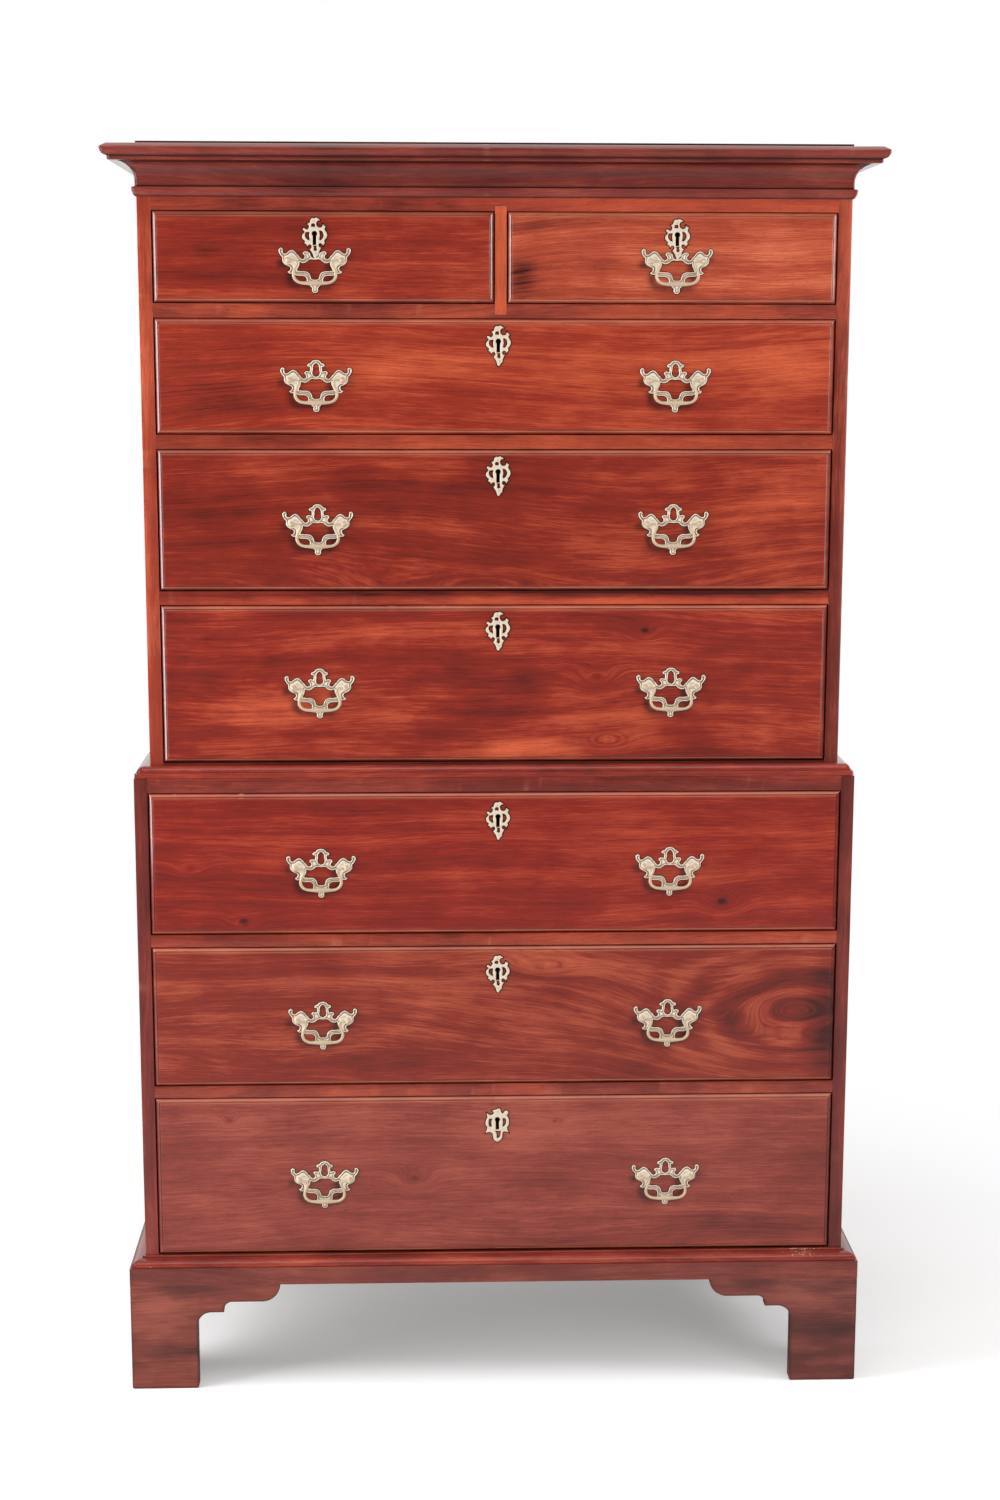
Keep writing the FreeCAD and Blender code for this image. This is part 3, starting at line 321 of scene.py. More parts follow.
def brassMaterial(name, waxAndShadowed=False, **changes):
    # high parts are rubbed bright and hollows keep dark lacquer: both follow the relief attribute
    look = {**brassSettings, **changes}
    material, tree = startMaterial(name)
    place = addNode(tree, "ShaderNodeTexCoord").outputs["Object"]
    relief = addNode(tree, "ShaderNodeAttribute", attribute_name="relief").outputs["Fac"]
    waxAndShadow = addNode(tree, "ShaderNodeAttribute", attribute_name="waxAndShadow").outputs["Fac"]
    tarnish = spread(tree, place, *metalNoises["tarnish"])
    height = calc(tree, "ADD", relief, swing(tree, tarnish, look["tarnish"]))
    stops = [(level, tint(*look[key])) for level, key in zip(look["stops"], ("hollow", "body", "bright"))]
    # the skirt round a plate takes a dark colour: a painted shadow outline, partly wax
    colour = blendColour(tree, waxAndShadow, rampColour(tree, height, stops), tint(*look["waxAndShadow"]))
    bump = addBump(tree, spread(tree, place, *metalNoises["scratches"]), look["bump"], look["bumpDepth"])
    rough = remap(tree, height, 0.0, 1.0, look["roughness"] + look["hollowRoughness"], look["roughness"])
    rough = calc(tree, "ADD", rough, calc(tree, "MULTIPLY", waxAndShadow, look["waxAndShadowRoughness"]), clamp=True)
    metal, shine = look["metal"], look["shine"]
    if waxAndShadowed:
        clean = calc(tree, "SUBTRACT", 1.0, waxAndShadow, clamp=True)
        metal = calc(tree, "MULTIPLY", clean, metal)
        shine = calc(tree, "MULTIPLY", clean, shine)
    shader = addNode(tree, "ShaderNodeBsdfPrincipled", {
        "Base Color": colour, "Roughness": rough, "Metallic": metal, "Specular IOR Level": shine, "Normal": bump})
    addNode(tree, "ShaderNodeOutputMaterial", {"Surface": shader.outputs[0]})
    return material


def ironMaterial(name):
    # grey iron that a noise turns brown and rough in patches
    look = ironSettings
    material, tree = startMaterial(name)
    place = addNode(tree, "ShaderNodeTexCoord").outputs["Object"]
    rust = spread(tree, place, *metalNoises["rust"])
    colour = rampColour(tree, rust, [(level, tint(*shade)) for level, shade in look["stops"]])
    bump = addBump(tree, rust, look["bump"], look["bumpDepth"])
    rough = remap(tree, rust, *look["rustRange"], *look["roughness"])
    shader = addNode(tree, "ShaderNodeBsdfPrincipled", {
        "Base Color": colour, "Roughness": rough, "Metallic": look["metal"], "Normal": bump})
    addNode(tree, "ShaderNodeOutputMaterial", {"Surface": shader.outputs[0]})
    return material


# mesh helpers
latticeSize = 256
pointsAtOnce = 4000  # how many places signedDistance works on together
curveSpacing = 0.5  # between points of an outline, in millimetres
tiny = 1e-12  # this and the next one keep a length that something is divided by off zero
tinyLength = 1e-9


def smoothStep(value):
    # 3t^2 - 2t^3 on t held between 0 and 1
    held = np.clip(value, 0, 1)
    return held * held * (3 - 2 * held)


def bell(place, middle, width):
    # exp(-((place - middle) / width)^2)
    return np.exp(-((place - middle) / width) ** 2)


def softNoise(first, second, cell, seed):
    # value noise: seeded random numbers on a lattice of that cell, blended with a smooth fade
    table = np.random.default_rng(seed).uniform(-1, 1, (latticeSize + 1, latticeSize + 1))
    first, second = np.broadcast_arrays(np.asarray(first, float) / cell, np.asarray(second, float) / cell)
    column, row = np.floor(first).astype(int), np.floor(second).astype(int)
    across, up = smoothStep(first - column), smoothStep(second - row)
    column, row = column % latticeSize, row % latticeSize
    low = table[column, row] * (1 - across) + table[column + 1, row] * across
    high = table[column, row + 1] * (1 - across) + table[column + 1, row + 1] * across
    return low * (1 - up) + high * up


dentSettings = {"rubCell": 35 * mm, "rub": 0.25, "knockCell": 11 * mm, "knockLevel": 0.55, "knock": 2.2,
                "rareCell": 120 * mm, "rareLevel": 0.1}


def dents(place, seed, depth=1.0):
    # How far a worn edge is rubbed back along its length: a little everywhere, more at a few knocks.
    # The three noises are read along rows of their own.
    size = dentSettings
    rub = 0.5 + 0.5 * softNoise(place, 0.0, size["rubCell"], seed)
    knocks = np.clip(softNoise(place, 3.0, size["knockCell"], seed + 1) - size["knockLevel"], 0, 1) * size["knock"]
    rare = np.clip(softNoise(place, 9.0, size["rareCell"], seed + 2) - size["rareLevel"], 0, 1)
    return depth * (size["rub"] * rub + knocks * rare)


def tubeFaces(rings, count):
    # corner numbers of a tube of rings of count points each: the cells between rings and both ends
    row, column = np.arange(rings - 1)[:, None] * count, np.arange(count)
    after = (column + 1) % count
    corners = row + column, row + count + column, row + count + after, row + after
    return [np.stack([corner.ravel() for corner in corners], 1), column[::-1], column + (rings - 1) * count]


def shellFaces(kept, number, count):
    # the kept cells of a grid of numbered corners, and a wall round them to the corners count further on
    corner = number[:-1, :-1], number[1:, :-1], number[1:, 1:], number[:-1, 1:]
    free = ~np.pad(kept, 1)
    walls = []
    for first, second, beside in ((corner[0], corner[3], free[:-2, 1:-1]), (corner[2], corner[1], free[2:, 1:-1]),
                                  (corner[1], corner[0], free[1:-1, :-2]), (corner[3], corner[2], free[1:-1, 2:])):
        edge = kept & beside
        walls.append(np.stack([first[edge], second[edge], second[edge] + count, first[edge] + count], 1))
    return np.stack([part[kept] for part in corner], 1), np.concatenate(walls)


def turnedOut(points, faces):
    # the faces of a closed surface, turned round if the sum of their signed volumes is negative
    volume = 0.0
    for face in faces:
        corners = points[np.asarray(face)]
        corners = corners[None] if corners.ndim == 2 else corners
        for step in range(1, corners.shape[1] - 1):
            volume += np.einsum("ij,ij->", corners[:, 0], np.cross(corners[:, step], corners[:, step + 1]))
    return faces if volume > 0 else [np.asarray(face)[..., ::-1] for face in faces]


def dropUnused(points, faces, attributes):
    # the points that a face uses, and faces and attributes numbered to match
    used = np.zeros(len(points), bool)
    for face in faces:
        used[face.ravel()] = True
    number = np.cumsum(used) - 1
    return points[used], [number[face] for face in faces], {label: part[used] for label, part in attributes.items()}


def addPiece(name, points, faces, look, body, node, attributes=None, sharp=35.0):
    # a mesh of that look, smooth except over edges sharper than that angle; faces is a list of arrays
    # of corner numbers, each one face or one face on each row
    corners = []
    for face in faces:
        corners += np.atleast_2d(face).tolist()
    mesh = bpy.data.meshes.new(name)
    mesh.from_pydata(points.tolist(), [], corners)
    for label, values in (attributes or {}).items():
        layer = mesh.attributes.new(label, "FLOAT", "POINT")
        layer.data.foreach_set("value", np.asarray(values, np.float32).ravel())
    mesh.update()
    placePiece(name, mesh, look, body, node, sharp)


def placePiece(name, mesh, look, body, node, sharp=35.0):
    # the mesh as a visible piece that rides on a body and stands in for a node
    mesh.polygons.foreach_set("use_smooth", np.ones(len(mesh.polygons), bool))
    mesh.set_sharp_from_angle(angle=math.radians(sharp))
    piece = bpy.data.objects.new(name, mesh)
    bpy.context.scene.collection.objects.link(piece)
    mesh.materials.clear()
    mesh.materials.append(look)
    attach(piece, body)
    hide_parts(node)


def dressNode(node, look):
    # a node of the frame in one material
    allNodes[node].data.materials.clear()
    allNodes[node].data.materials.append(look)


# boards: a rounded rectangle carried along one axis
boardSizes = {"radius": 0.9 * mm, "cornerPoints": 4, "station": 4 * mm, "rub": 0.8 * mm, "endShare": 0.4,
              "wear": 0.55, "wearLevel": 0.12}


def softBoard(name, low, high, axis, look, node, seed, wear=1.0, rounded=(1, 1, 1, 1), drawn=True):
    # The section is a rectangle whose corners are quarter circles, or square where rounded has a 0.
    # Round corners are rubbed back by dents() along the length. Drawn-in ends round off the ends.
    low, high = np.array(low, float), np.array(high, float)
    radius = boardSizes["radius"]
    others = [other for other in (0, 1, 2) if other != axis]
    stations = np.linspace(low[axis], high[axis], max(4, int((high[axis] - low[axis]) / boardSizes["station"])))
    if drawn:
        ends = radius * boardSizes["endShare"]
        stations = np.r_[stations[0], stations[0] + ends, stations[1:-1], stations[-1] - ends, stations[-1]]
    inset = np.zeros(len(stations))
    if drawn:
        inset[[0, -1]] = ends
    section = []
    for corner, (signA, signB) in enumerate(((1, 1), (-1, 1), (-1, -1), (1, -1))):
        if rounded[corner]:
            for turn in np.linspace(0, math.pi / 2, boardSizes["cornerPoints"]) + corner * math.pi / 2:
                section.append((signA, signB, math.cos(turn), math.sin(turn), corner, 1))
        else:
            section.append((signA, signB, signA, signB, corner, 0))
    section = np.array(section)
    middle = (low + high)[others] / 2
    half = (high - low)[others] / 2
    corner = section[:, 4].astype(int)
    rubbed = np.stack([dents(stations, seed * 10 + number, wear) for number in range(4)])[corner].T * section[:, 5]
    back = rubbed * boardSizes["rub"] + inset[:, None]
    points = np.empty((len(stations), len(section), 3))
    points[..., axis] = stations[:, None]
    for place, column in ((0, 2), (1, 3)):
        reach = section[:, place] * (half[place] - radius) + section[:, column] * radius
        points[..., others[place]] = middle[place] + reach - back * section[:, column]
    points = points.reshape(-1, 3)
    faces = turnedOut(points, tubeFaces(len(stations), len(section)))
    wearValue = np.clip(rubbed * boardSizes["wear"] - boardSizes["wearLevel"], 0, 1)
    addPiece(name, points, faces, look, "carcass", node, {"wear": wearValue}, 50)


# mouldings: a profile carried round the front and both sides
mouldingSizes = {"spacing": 1.0 * mm, "soften": 3, "arcPoints": 20, "shortest": 0.01 * mm, "fullBend": 0.1 * mm,
                 "station": 7 * mm, "joint": 0.12 * mm, "rub": 0.9 * mm, "wear": 0.8 / mm, "wearLevel": 0.05,
                 "shadeAndDirt": 0.75}


def profileLine(steps, spacing=mouldingSizes["spacing"], soften=mouldingSizes["soften"]):
    # Straight runs and elliptic quarters as one closed line with a point on every corner, then
    # softened by a moving mean over a few points, which rounds its edges. A step is a corner (p, z), or
    # (centreP, centreZ, radiusP, radiusZ, startTurn, endTurn) in degrees.
    line = []
    for step in steps:
        if len(step) == 2:
            line.append(step)
        else:
            centreP, centreZ, radiusP, radiusZ, start, end = step
            for turn in np.radians(np.linspace(start, end, mouldingSizes["arcPoints"])):
                line.append((centreP + radiusP * math.cos(turn), centreZ + radiusZ * math.sin(turn)))
    line = np.array(line)
    line = line[np.linalg.norm(line - np.roll(line, -1, 0), axis=1) > mouldingSizes["shortest"]]
    after = np.roll(line, -1, 0)
    shares = [np.arange(count)[:, None] / count
              for count in np.ceil(np.linalg.norm(after - line, axis=1) / spacing).astype(int)]
    points = np.concatenate([first + (last - first) * share for first, last, share in zip(line, after, shares)])
    return sum(np.roll(points, offset, 0) for offset in range(-(soften // 2), soften // 2 + 1)) / soften


def profileBend(points):
    # Outward normals of a closed line, and how convex and how hollow it is at each point. Both go from
    # 0 to 1 with the height of the point over its neighbours' middle, and are spread to the neighbours.
    before, after = np.roll(points, 1, 0), np.roll(points, -1, 0)
    tangent = after - before
    tangent /= np.linalg.norm(tangent, axis=1)[:, None] + tiny
    area = np.sum(points[:, 0] * after[:, 1] - after[:, 0] * points[:, 1])
    normal = np.stack([tangent[:, 1], -tangent[:, 0]], 1) * (1 if area > 0 else -1)
    bend = np.einsum("ij,ij->i", points - (before + after) / 2, normal) / mouldingSizes["fullBend"]
    convex, hollow = [np.clip(sum(np.roll(np.clip(part, 0, 1), offset) for offset in (-1, 0, 1)) / 2, 0, 1)
                      for part in (bend, -bend)]
    return normal, convex, hollow


def carryMoulding(baseName, steps, half, front, frontLook, sideLook, node, seed, spacing=mouldingSizes["spacing"],
                  soften=mouldingSizes["soften"], rubDepth=mouldingSizes["rub"], shadeBands=()):
    # One length along the front and two returns. A point (p, z) of the profile lies p outside the
    # case, so the lengths meet in mitres. Convex edges are rubbed back along the length. Hollows get
    # painted shade, and a shade band (level, width, strength) darkens the profile about its level with
    # painted shade.
    profile = profileLine(steps, spacing, soften)
    normal, convex, hollow = profileBend(profile)
    joint = mouldingSizes["joint"]
    # painted shade in the hollows of the profile, and painted shade bands below
    grimeAndShade = hollow * mouldingSizes["shadeAndDirt"]
    for middle, width, strength in shadeBands:
        grimeAndShade += strength * bell(profile[:, 1], middle, width) * (profile[:, 0] > 0)
    for label in ("front", "left", "right"):
        length = 2 * half if label == "front" else backY - front
        along = np.linspace(0, 1, int(length / mouldingSizes["station"]))[:, None]
        rub = dents(along * length, seed + len(label)) * convex * rubDepth
        reach = profile[:, 0] - rub * normal[:, 0]
        level = profile[:, 1] - rub * normal[:, 1]
        if label == "front":
            placeX = (2 * along - 1) * (half + reach - joint)
            placeY = front - reach
        else:
            placeX = (1 if label == "right" else -1) * (half + reach)
            placeY = (front - reach + joint) * (1 - along) + backY * along
        points = np.stack([placeX, placeY, level], -1).reshape(-1, 3)
        faces = turnedOut(points, tubeFaces(len(along), len(profile)))
        attributes = {"wear": np.clip(rub * mouldingSizes["wear"] - mouldingSizes["wearLevel"], 0, 1),
                      "grimeAndShade": np.tile(np.clip(grimeAndShade, 0, 1), len(along))}
        addPiece(baseName + "_" + label, points, faces, frontLook if label == "front" else sideLook, "carcass",
                 node, attributes, 60)


# outline helpers for brasses and brackets
def curveThrough(corners, spacing):
    # natural cubic spline through the corners by chord length; two corners give a straight line
    corners = np.array(corners, float)
    gaps = np.linalg.norm(np.diff(corners, axis=0), axis=1)
    chord = np.concatenate([[0], np.cumsum(gaps)])
    place = np.linspace(0, chord[-1], max(2, int(chord[-1] / spacing)), endpoint=False)
    count = len(corners)
    system = np.eye(count)
    target = np.zeros((count, 2))
    inner = np.arange(1, count - 1)
    slope = np.diff(corners, axis=0) / gaps[:, None]
    system[inner, inner - 1] = gaps[:-1]
    system[inner, inner] = 2 * (gaps[:-1] + gaps[1:])
    system[inner, inner + 1] = gaps[1:]
    target[1:-1] = 6 * (slope[1:] - slope[:-1])
    bend = np.linalg.solve(system, target)
    cell = np.clip(np.searchsorted(chord, place, side="right") - 1, 0, count - 2)
    width = gaps[cell][:, None]
    after = (place - chord[cell])[:, None]
    left = width - after
    return (bend[cell] * left ** 3 / (6 * width) + bend[cell + 1] * after ** 3 / (6 * width)
            + (corners[cell] / width - bend[cell] * width / 6) * left
            + (corners[cell + 1] / width - bend[cell + 1] * width / 6) * after)


def mirrored(curves):
    # the same curves on the other side of x = 0, each as it comes
    return [[(-across, up) for across, up in curve] for curve in curves]


def loopOf(segments, bothSides=False):
    # curves end to end as one closed line; with bothSides the mirrored ones lead back to the start
    if bothSides:
        segments = segments + [curve[::-1] for curve in mirrored(segments)[::-1]]
    return np.concatenate([curveThrough(segment, curveSpacing) for segment in segments])


def signedDistance(points, loops):
    # distance to the nearest run of the loops, positive inside by the even-odd rule, and the nearest place
    start = np.concatenate(loops)
    end = np.concatenate([np.roll(loop, -1, 0) for loop in loops])
    span = end - start
    lengthSquared = (span ** 2).sum(1) + tiny
    distance = np.empty(len(points))
    nearest = np.empty((len(points), 2))
    for chunk in np.array_split(np.arange(len(points)), 1 + len(points) // pointsAtOnce):
        here = points[chunk]
        offset = here[:, None] - start
        share = np.clip((offset * span).sum(2) / lengthSquared, 0, 1)
        away = offset - share[..., None] * span
        squared = (away ** 2).sum(2)
        best = squared.argmin(1)
        row = np.arange(len(chunk))
        nearest[chunk] = here - away[row, best]
        crossing = (start[:, 1] > here[:, 1:]) != (end[:, 1] > here[:, 1:])
        rise = np.where(span[:, 1] == 0, 1.0, span[:, 1])
        meets = start[:, 0] + (here[:, 1:] - start[:, 1]) * span[:, 0] / rise
        inside = (crossing & (here[:, :1] < meets)).sum(1) % 2 == 1
        distance[chunk] = np.sqrt(squared[row, best]) * np.where(inside, 1, -1)
    return distance, nearest


def reliefGrid(loops, spacing, skirt):
    # Cells of a square grid inside the loops and a skirt round them. Border corners are moved onto the
    # skirt's edge. Gives places, distances and the faces of the top, the base and the wall between.
    low = loops[0].min(0) - skirt - spacing * 1.5
    high = loops[0].max(0) + skirt + spacing * 1.5
    across, up = np.arange(low[0], high[0], spacing), np.arange(low[1], high[1], spacing)
    places = np.stack(np.meshgrid(across, up, indexing="ij"), -1)
    shape = places.shape[:2]
    places = places.reshape(-1, 2)
    distance, nearest = signedDistance(places, loops)
    grid = distance.reshape(shape)
    kept = (grid[:-1, :-1] + grid[1:, :-1] + grid[:-1, 1:] + grid[1:, 1:]) / 4 > -skirt
    padded = np.pad(kept, 1).astype(int)
    around = (padded[:-1, :-1] + padded[1:, :-1] + padded[:-1, 1:] + padded[1:, 1:]).ravel()
    border = (around > 0) & (around < 4)
    away = places - nearest
    away /= np.linalg.norm(away, axis=1)[:, None] + tinyLength
    places[border] = (nearest + away * skirt)[border]
    distance = np.where(border, -skirt, distance)
    used = np.flatnonzero(around > 0)
    number = np.full(len(places), -1)
    number[used] = np.arange(len(used))
    top, walls = shellFaces(kept, number.reshape(shape), len(used))
    return places[used], distance[used], [top, top[:, ::-1] + len(used), walls]


# brasses: outlines in millimetres, one list of curves end to end for each
plateEdge = [
    [(0, 28.4), (5.0, 27.4), (7.7, 24.1)],
    [(7.7, 24.1), (11.0, 22.9), (12.5, 20.8), (11.2, 18.9), (8.7, 19.0)],
    [(8.7, 19.0), (8.5, 15.5), (9.3, 11.6)],
    [(9.3, 11.6), (12.0, 12.9), (15.0, 12.4), (16.8, 9.9), (14.9, 7.0)],
    [(14.9, 7.0), (14.2, 4.6), (15.7, 2.6), (18.1, 1.9), (21.0, 4.2), (23.2, 6.9)],
    [(23.2, 6.9), (25.6, 9.4), (28.4, 12.7), (32.0, 14.4), (37.0, 12.8), (40.6, 9.9), (44.2, 9.8)],
    [(44.2, 9.8), (45.4, 12.4), (45.0, 15.4), (48.0, 18.0)],
    [(48.0, 18.0), (50.8, 15.6), (50.6, 10.8), (48.2, 6.9), (45.8, 4.2)],
    [(45.8, 4.2), (46.0, 0.0), (43.2, -5.0), (38.0, -7.8), (34.8, -10.0), (35.0, -12.8), (38.7, -15.9)],
    [(38.7, -15.9), (35.6, -18.7), (31.0, -18.4), (26.5, -20.8), (21.5, -21.6)],
    [(21.5, -21.6), (16.0, -21.9), (12.6, -24.0), (11.6, -27.6), (12.1, -32.0)],
    [(12.1, -32.0), (8.6, -34.0), (6.2, -36.4), (3.9, -38.6)],
    [(3.9, -38.6), (4.4, -41.8), (2.8, -44.6), (0, -45.4)],
]
plateWindow = [
    [(0, 0.9), (4.2, 1.5), (7.7, 1.2)],
    [(7.7, 1.2), (12.0, -2.4), (17.0, -3.8), (21.6, -2.2)],
    [(21.6, -2.2), (22.0, -6.5), (24.0, -11.0), (25.4, -14.4)],
    [(25.4, -14.4), (17.5, -14.9), (11.8, -15.5), (8.2, -17.8), (6.2, -21.8), (5.3, -25.4)],
    [(5.3, -25.4), (2.6, -26.6), (0, -26.8)],
]
plateLoopHole = [
    [(0, 24.2), (3.4, 21.4), (4.6, 15.6), (5.4, 9.4)],
    [(5.4, 9.4), (3.4, 6.2), (0, 4.7)],
]
trimmedCup = [(0, 2.9), (3.4, 3.9), (6.0, 6.9), (6.9, 10.2), (9.3, 11.6)]
plateVeins = [
    [(25.5, 7.2), (29.5, 10.3), (33.5, 11.2), (38.0, 9.2), (42.0, 6.6)],
    [(45.8, 14.8), (47.6, 12.2), (46.6, 8.6), (44.0, 6.0)],
    [(28.0, 3.4), (31.6, 5.4), (34.4, 5.6)],
    [(43.4, -0.5), (41.0, -4.2), (36.4, -6.4), (32.2, -8.6), (31.4, -12.0), (33.6, -15.4)],
    [(28.4, -4.2), (27.4, -8.2), (28.4, -12.4), (30.2, -15.8)],
    [(9.0, -33.4), (4.6, -34.2), (0.0, -34.6)],
]
scrolledEdge = [
    [(0, 26.6), (1.2, 27.7), (4.6, 27.0), (8.2, 24.0)],
    [(8.2, 24.0), (4.4, 23.2), (2.7, 20.2), (3.8, 16.4), (7.2, 14.4), (10.6, 15.6), (11.6, 19.6)],
    [(11.6, 19.6), (13.2, 17.4), (15.9, 16.2)],
    [(15.5, 15.5), (14.2, 12.0), (16.6, 7.6), (17.4, 3.4), (16.0, -0.4), (13.6, -3.8), (14.6, -6.6)],
    [(14.6, -6.6), (12.8, -8.0), (12.2, -11.0)],
    [(12.2, -11.0), (10.0, -7.8), (7.5, -7.0), (5.6, -9.2), (6.4, -11.6), (9.2, -12.9)],
    [(9.2, -12.9), (7.4, -15.8), (6.2, -19.0), (5.9, -22.6)],
    [(5.9, -22.6), (3.4, -24.6), (1.9, -27.2), (0, -28.0), (-1.4, -26.2), (-2.4, -22.6), (-7.0, -15.3)],
    [(-7.0, -15.3), (-4.6, -13.2), (-4.2, -10.8), (-6.1, -8.7), (-8.5, -9.4), (-9.9, -11.8)],
    [(-9.9, -11.8), (-11.4, -8.6), (-14.1, -7.0)],
    [(-14.1, -7.0), (-13.2, -4.2), (-16.0, -1.4), (-17.2, 1.9), (-16.0, 5.4), (-13.6, 8.2), (-16.0, 11.3)],
    [(-16.0, 11.3), (-15.2, 13.6), (-12.6, 13.0), (-10.6, 11.8), (-8.2, 13.4), (-7.3, 16.0), (-9.9, 19.3)],
    [(-9.9, 19.3), (-6.6, 20.9), (-5.4, 24.2), (-3.0, 27.2), (0, 26.6)],
]
scrolledHoles = [
    [[(6.4, 10.2), (9.6, 9.6), (12.2, 6.2), (11.8, 1.0), (8.4, -2.8)],
     [(8.4, -2.8), (6.4, -2.0)], [(6.4, -2.0), (7.2, 3.6), (6.4, 10.2)]],
    [[(-12.4, 7.6), (-6.8, 8.4)], [(-6.8, 8.4), (-7.2, 3.0), (-6.6, -3.0)],
     [(-6.6, -3.0), (-10.2, -1.4), (-13.0, 2.8), (-12.4, 7.6)]],
    [[(-1.6, 19.9), (0.6, 19.0), (0.6, 15.2)], [(0.6, 15.2), (-4.2, 15.4)],
     [(-4.2, 15.4), (-4.0, 18.6), (-1.6, 19.9)]],
    [[(-2.2, -10.4), (3.2, -10.4)], [(3.2, -10.4), (2.4, -12.8), (3.2, -15.4), (1.2, -17.4)],
     [(1.2, -17.4), (-1.4, -15.4), (-0.8, -12.8), (-2.2, -10.4)]],
]
scrolledPins = [(-0.6, 22.6), (1.6, -20.6)]
earedEdge = [
    [(2.0, 23.7), (4.2, 22.2), (5.4, 17.8), (8.0, 15.8), (10.4, 19.0)],
    [(10.4, 19.0), (13.2, 20.2), (15.6, 18.6), (15.9, 15.4), (13.9, 12.7)],
    [(13.9, 12.7), (16.4, 8.0), (17.4, 2.9), (16.4, -2.4), (14.2, -5.8)],
    [(14.2, -5.8), (15.2, -10.2), (17.6, -14.5)],
    [(17.6, -14.5), (12.6, -12.6), (9.2, -12.8), (7.6, -15.4), (7.4, -20.2), (5.6, -24.6), (-0.3, -28.3)],
    [(-0.3, -28.3), (-5.4, -24.8), (-6.7, -20.6), (-6.9, -17.2), (-9.0, -14.0), (-12.8, -13.2), (-17.9, -15.0)],
    [(-17.9, -15.0), (-15.8, -10.0), (-15.0, -5.8)],
    [(-15.0, -5.8), (-17.2, -2.2), (-17.4, 2.4), (-16.4, 6.2), (-14.8, 9.0)],
    [(-14.8, 9.0), (-15.6, 13.0), (-16.2, 16.8)],
    [(-16.2, 16.8), (-13.2, 14.8), (-9.8, 13.6), (-6.4, 14.6), (-5.6, 16.8), (-7.8, 20.2)],
    [(-7.8, 20.2), (-3.4, 21.6), (2.0, 23.7)],
]
earedHoles = [
    [[(7.5, 8.0), (11.4, 7.6), (12.8, 2.6), (11.0, -2.6), (7.6, -4.8)],
     [(7.6, -4.8), (8.2, 1.6), (7.5, 8.0)]],
    [[(-12.2, 7.4), (-7.8, 7.4)], [(-7.8, 7.4), (-9.0, 1.4), (-8.4, -4.8)],
     [(-8.4, -4.8), (-11.8, -4.2)], [(-11.8, -4.2), (-13.0, 1.6), (-12.2, 7.4)]],
    [[(-3.2, -11.4), (4.6, -11.4)], [(4.6, -11.4), (4.4, -17.0), (2.4, -21.6), (-1.2, -22.4)],
     [(-1.2, -22.4), (-1.0, -17.0), (-3.2, -11.4)]],
]
earedPins = [(0.4, 18.6), (-0.3, -25.2)]

# sizes in millimetres, as a brass founder would set them out
plateSizes = {"spacing": 0.58, "skirt": 0.95, "edge": 1.05, "rim": 0.85, "rimWidth": 1.0, "groove": 0.9, "swell": 0.8,
              "vein": 0.6, "waxAndShadowHeight": 0.2, "postReach": 38.0, "bossRadius": 5.2}
keyPlateSizes = {"spacing": 0.5, "skirt": 1.3, "edge": 1.0, "rim": 0.6, "rimWidth": 1.3, "groove": 0.0, "swell": 0.0,
                 "vein": 0.0, "waxAndShadowHeight": 0.22, "keyRise": 6.2, "keyRadius": 3.8, "keySlot": 5.0, "keyLength": 15.5,
                 "headPoints": 26, "scrolledWidth": 35.6, "earedWidth": 36.2}
castSizes = {"grooveWidth": 0.8, "swellStart": 2.3, "swellWidth": 1.7, "veinWidth": 0.5, "bossWidth": 0.8,
             "draft": 0.45, "lowRelief": 0.9, "reliefRange": 1.1, "waxAndShadowStart": 0.12, "waxAndShadowWidth": 0.18,
             "sunk": 0.05}


def castRelief(distance, places, sizes, veins=(), bosses=()):
    # Height over the wood in millimetres. From the edge inwards: a steep draft, a rounded rim, a
    # groove behind it and a swelling middle. Veins are shallow cuts and bosses are flat discs.
    cast = castSizes
    rim = sizes["edge"] + sizes["rim"] * np.sqrt(1 - (1 - np.clip(distance / sizes["rimWidth"], 0, 1)) ** 2)
    groove = sizes["groove"] * smoothStep((distance - sizes["rimWidth"]) / cast["grooveWidth"])
    swell = sizes["swell"] * smoothStep((distance - cast["swellStart"]) / cast["swellWidth"])
    form = rim - groove + swell
    for vein in veins:
        line = curveThrough(vein, curveSpacing)
        far = np.sqrt(((places[:, None] - line[None]) ** 2).sum(2).min(1))
        form = form - sizes["vein"] * bell(far, 0, cast["veinWidth"])
    for across, up, radius in bosses:
        far = np.hypot(places[:, 0] - across, places[:, 1] - up)
        level = smoothStep((radius + cast["bossWidth"] - far) / cast["bossWidth"])
        form = form + (sizes["edge"] + sizes["rim"] - form) * level
    height = smoothStep(distance / cast["draft"]) * form
    fillet = sizes["waxAndShadowHeight"] * np.clip(1 + distance / sizes["skirt"], 0, 1)
    height = np.where(distance < 0, fillet, np.maximum(height, fillet))
    relief = np.clip((form - cast["lowRelief"]) / cast["reliefRange"], 0, 1)
    # mask of the dark skirt round the plate: a painted shadow outline, partly wax
    waxAndShadow = smoothStep((cast["waxAndShadowStart"] - distance) / cast["waxAndShadowWidth"])
    return height, relief, waxAndShadow


def keyholeLoop(sizes):
    # a round head with a slot below it, as one loop from the slot's right corner upwards
    half = sizes["keySlot"] / 2
    start = -math.acos(half / sizes["keyRadius"])
    turn = np.linspace(start, math.pi - start, sizes["headPoints"])
    head = np.stack([sizes["keyRadius"] * np.cos(turn), sizes["keyRadius"] * np.sin(turn)], 1)
    foot = np.array([(-half, -sizes["keyLength"]), (half, -sizes["keyLength"])])
    return np.concatenate([head, foot]) + (0, sizes["keyRise"])


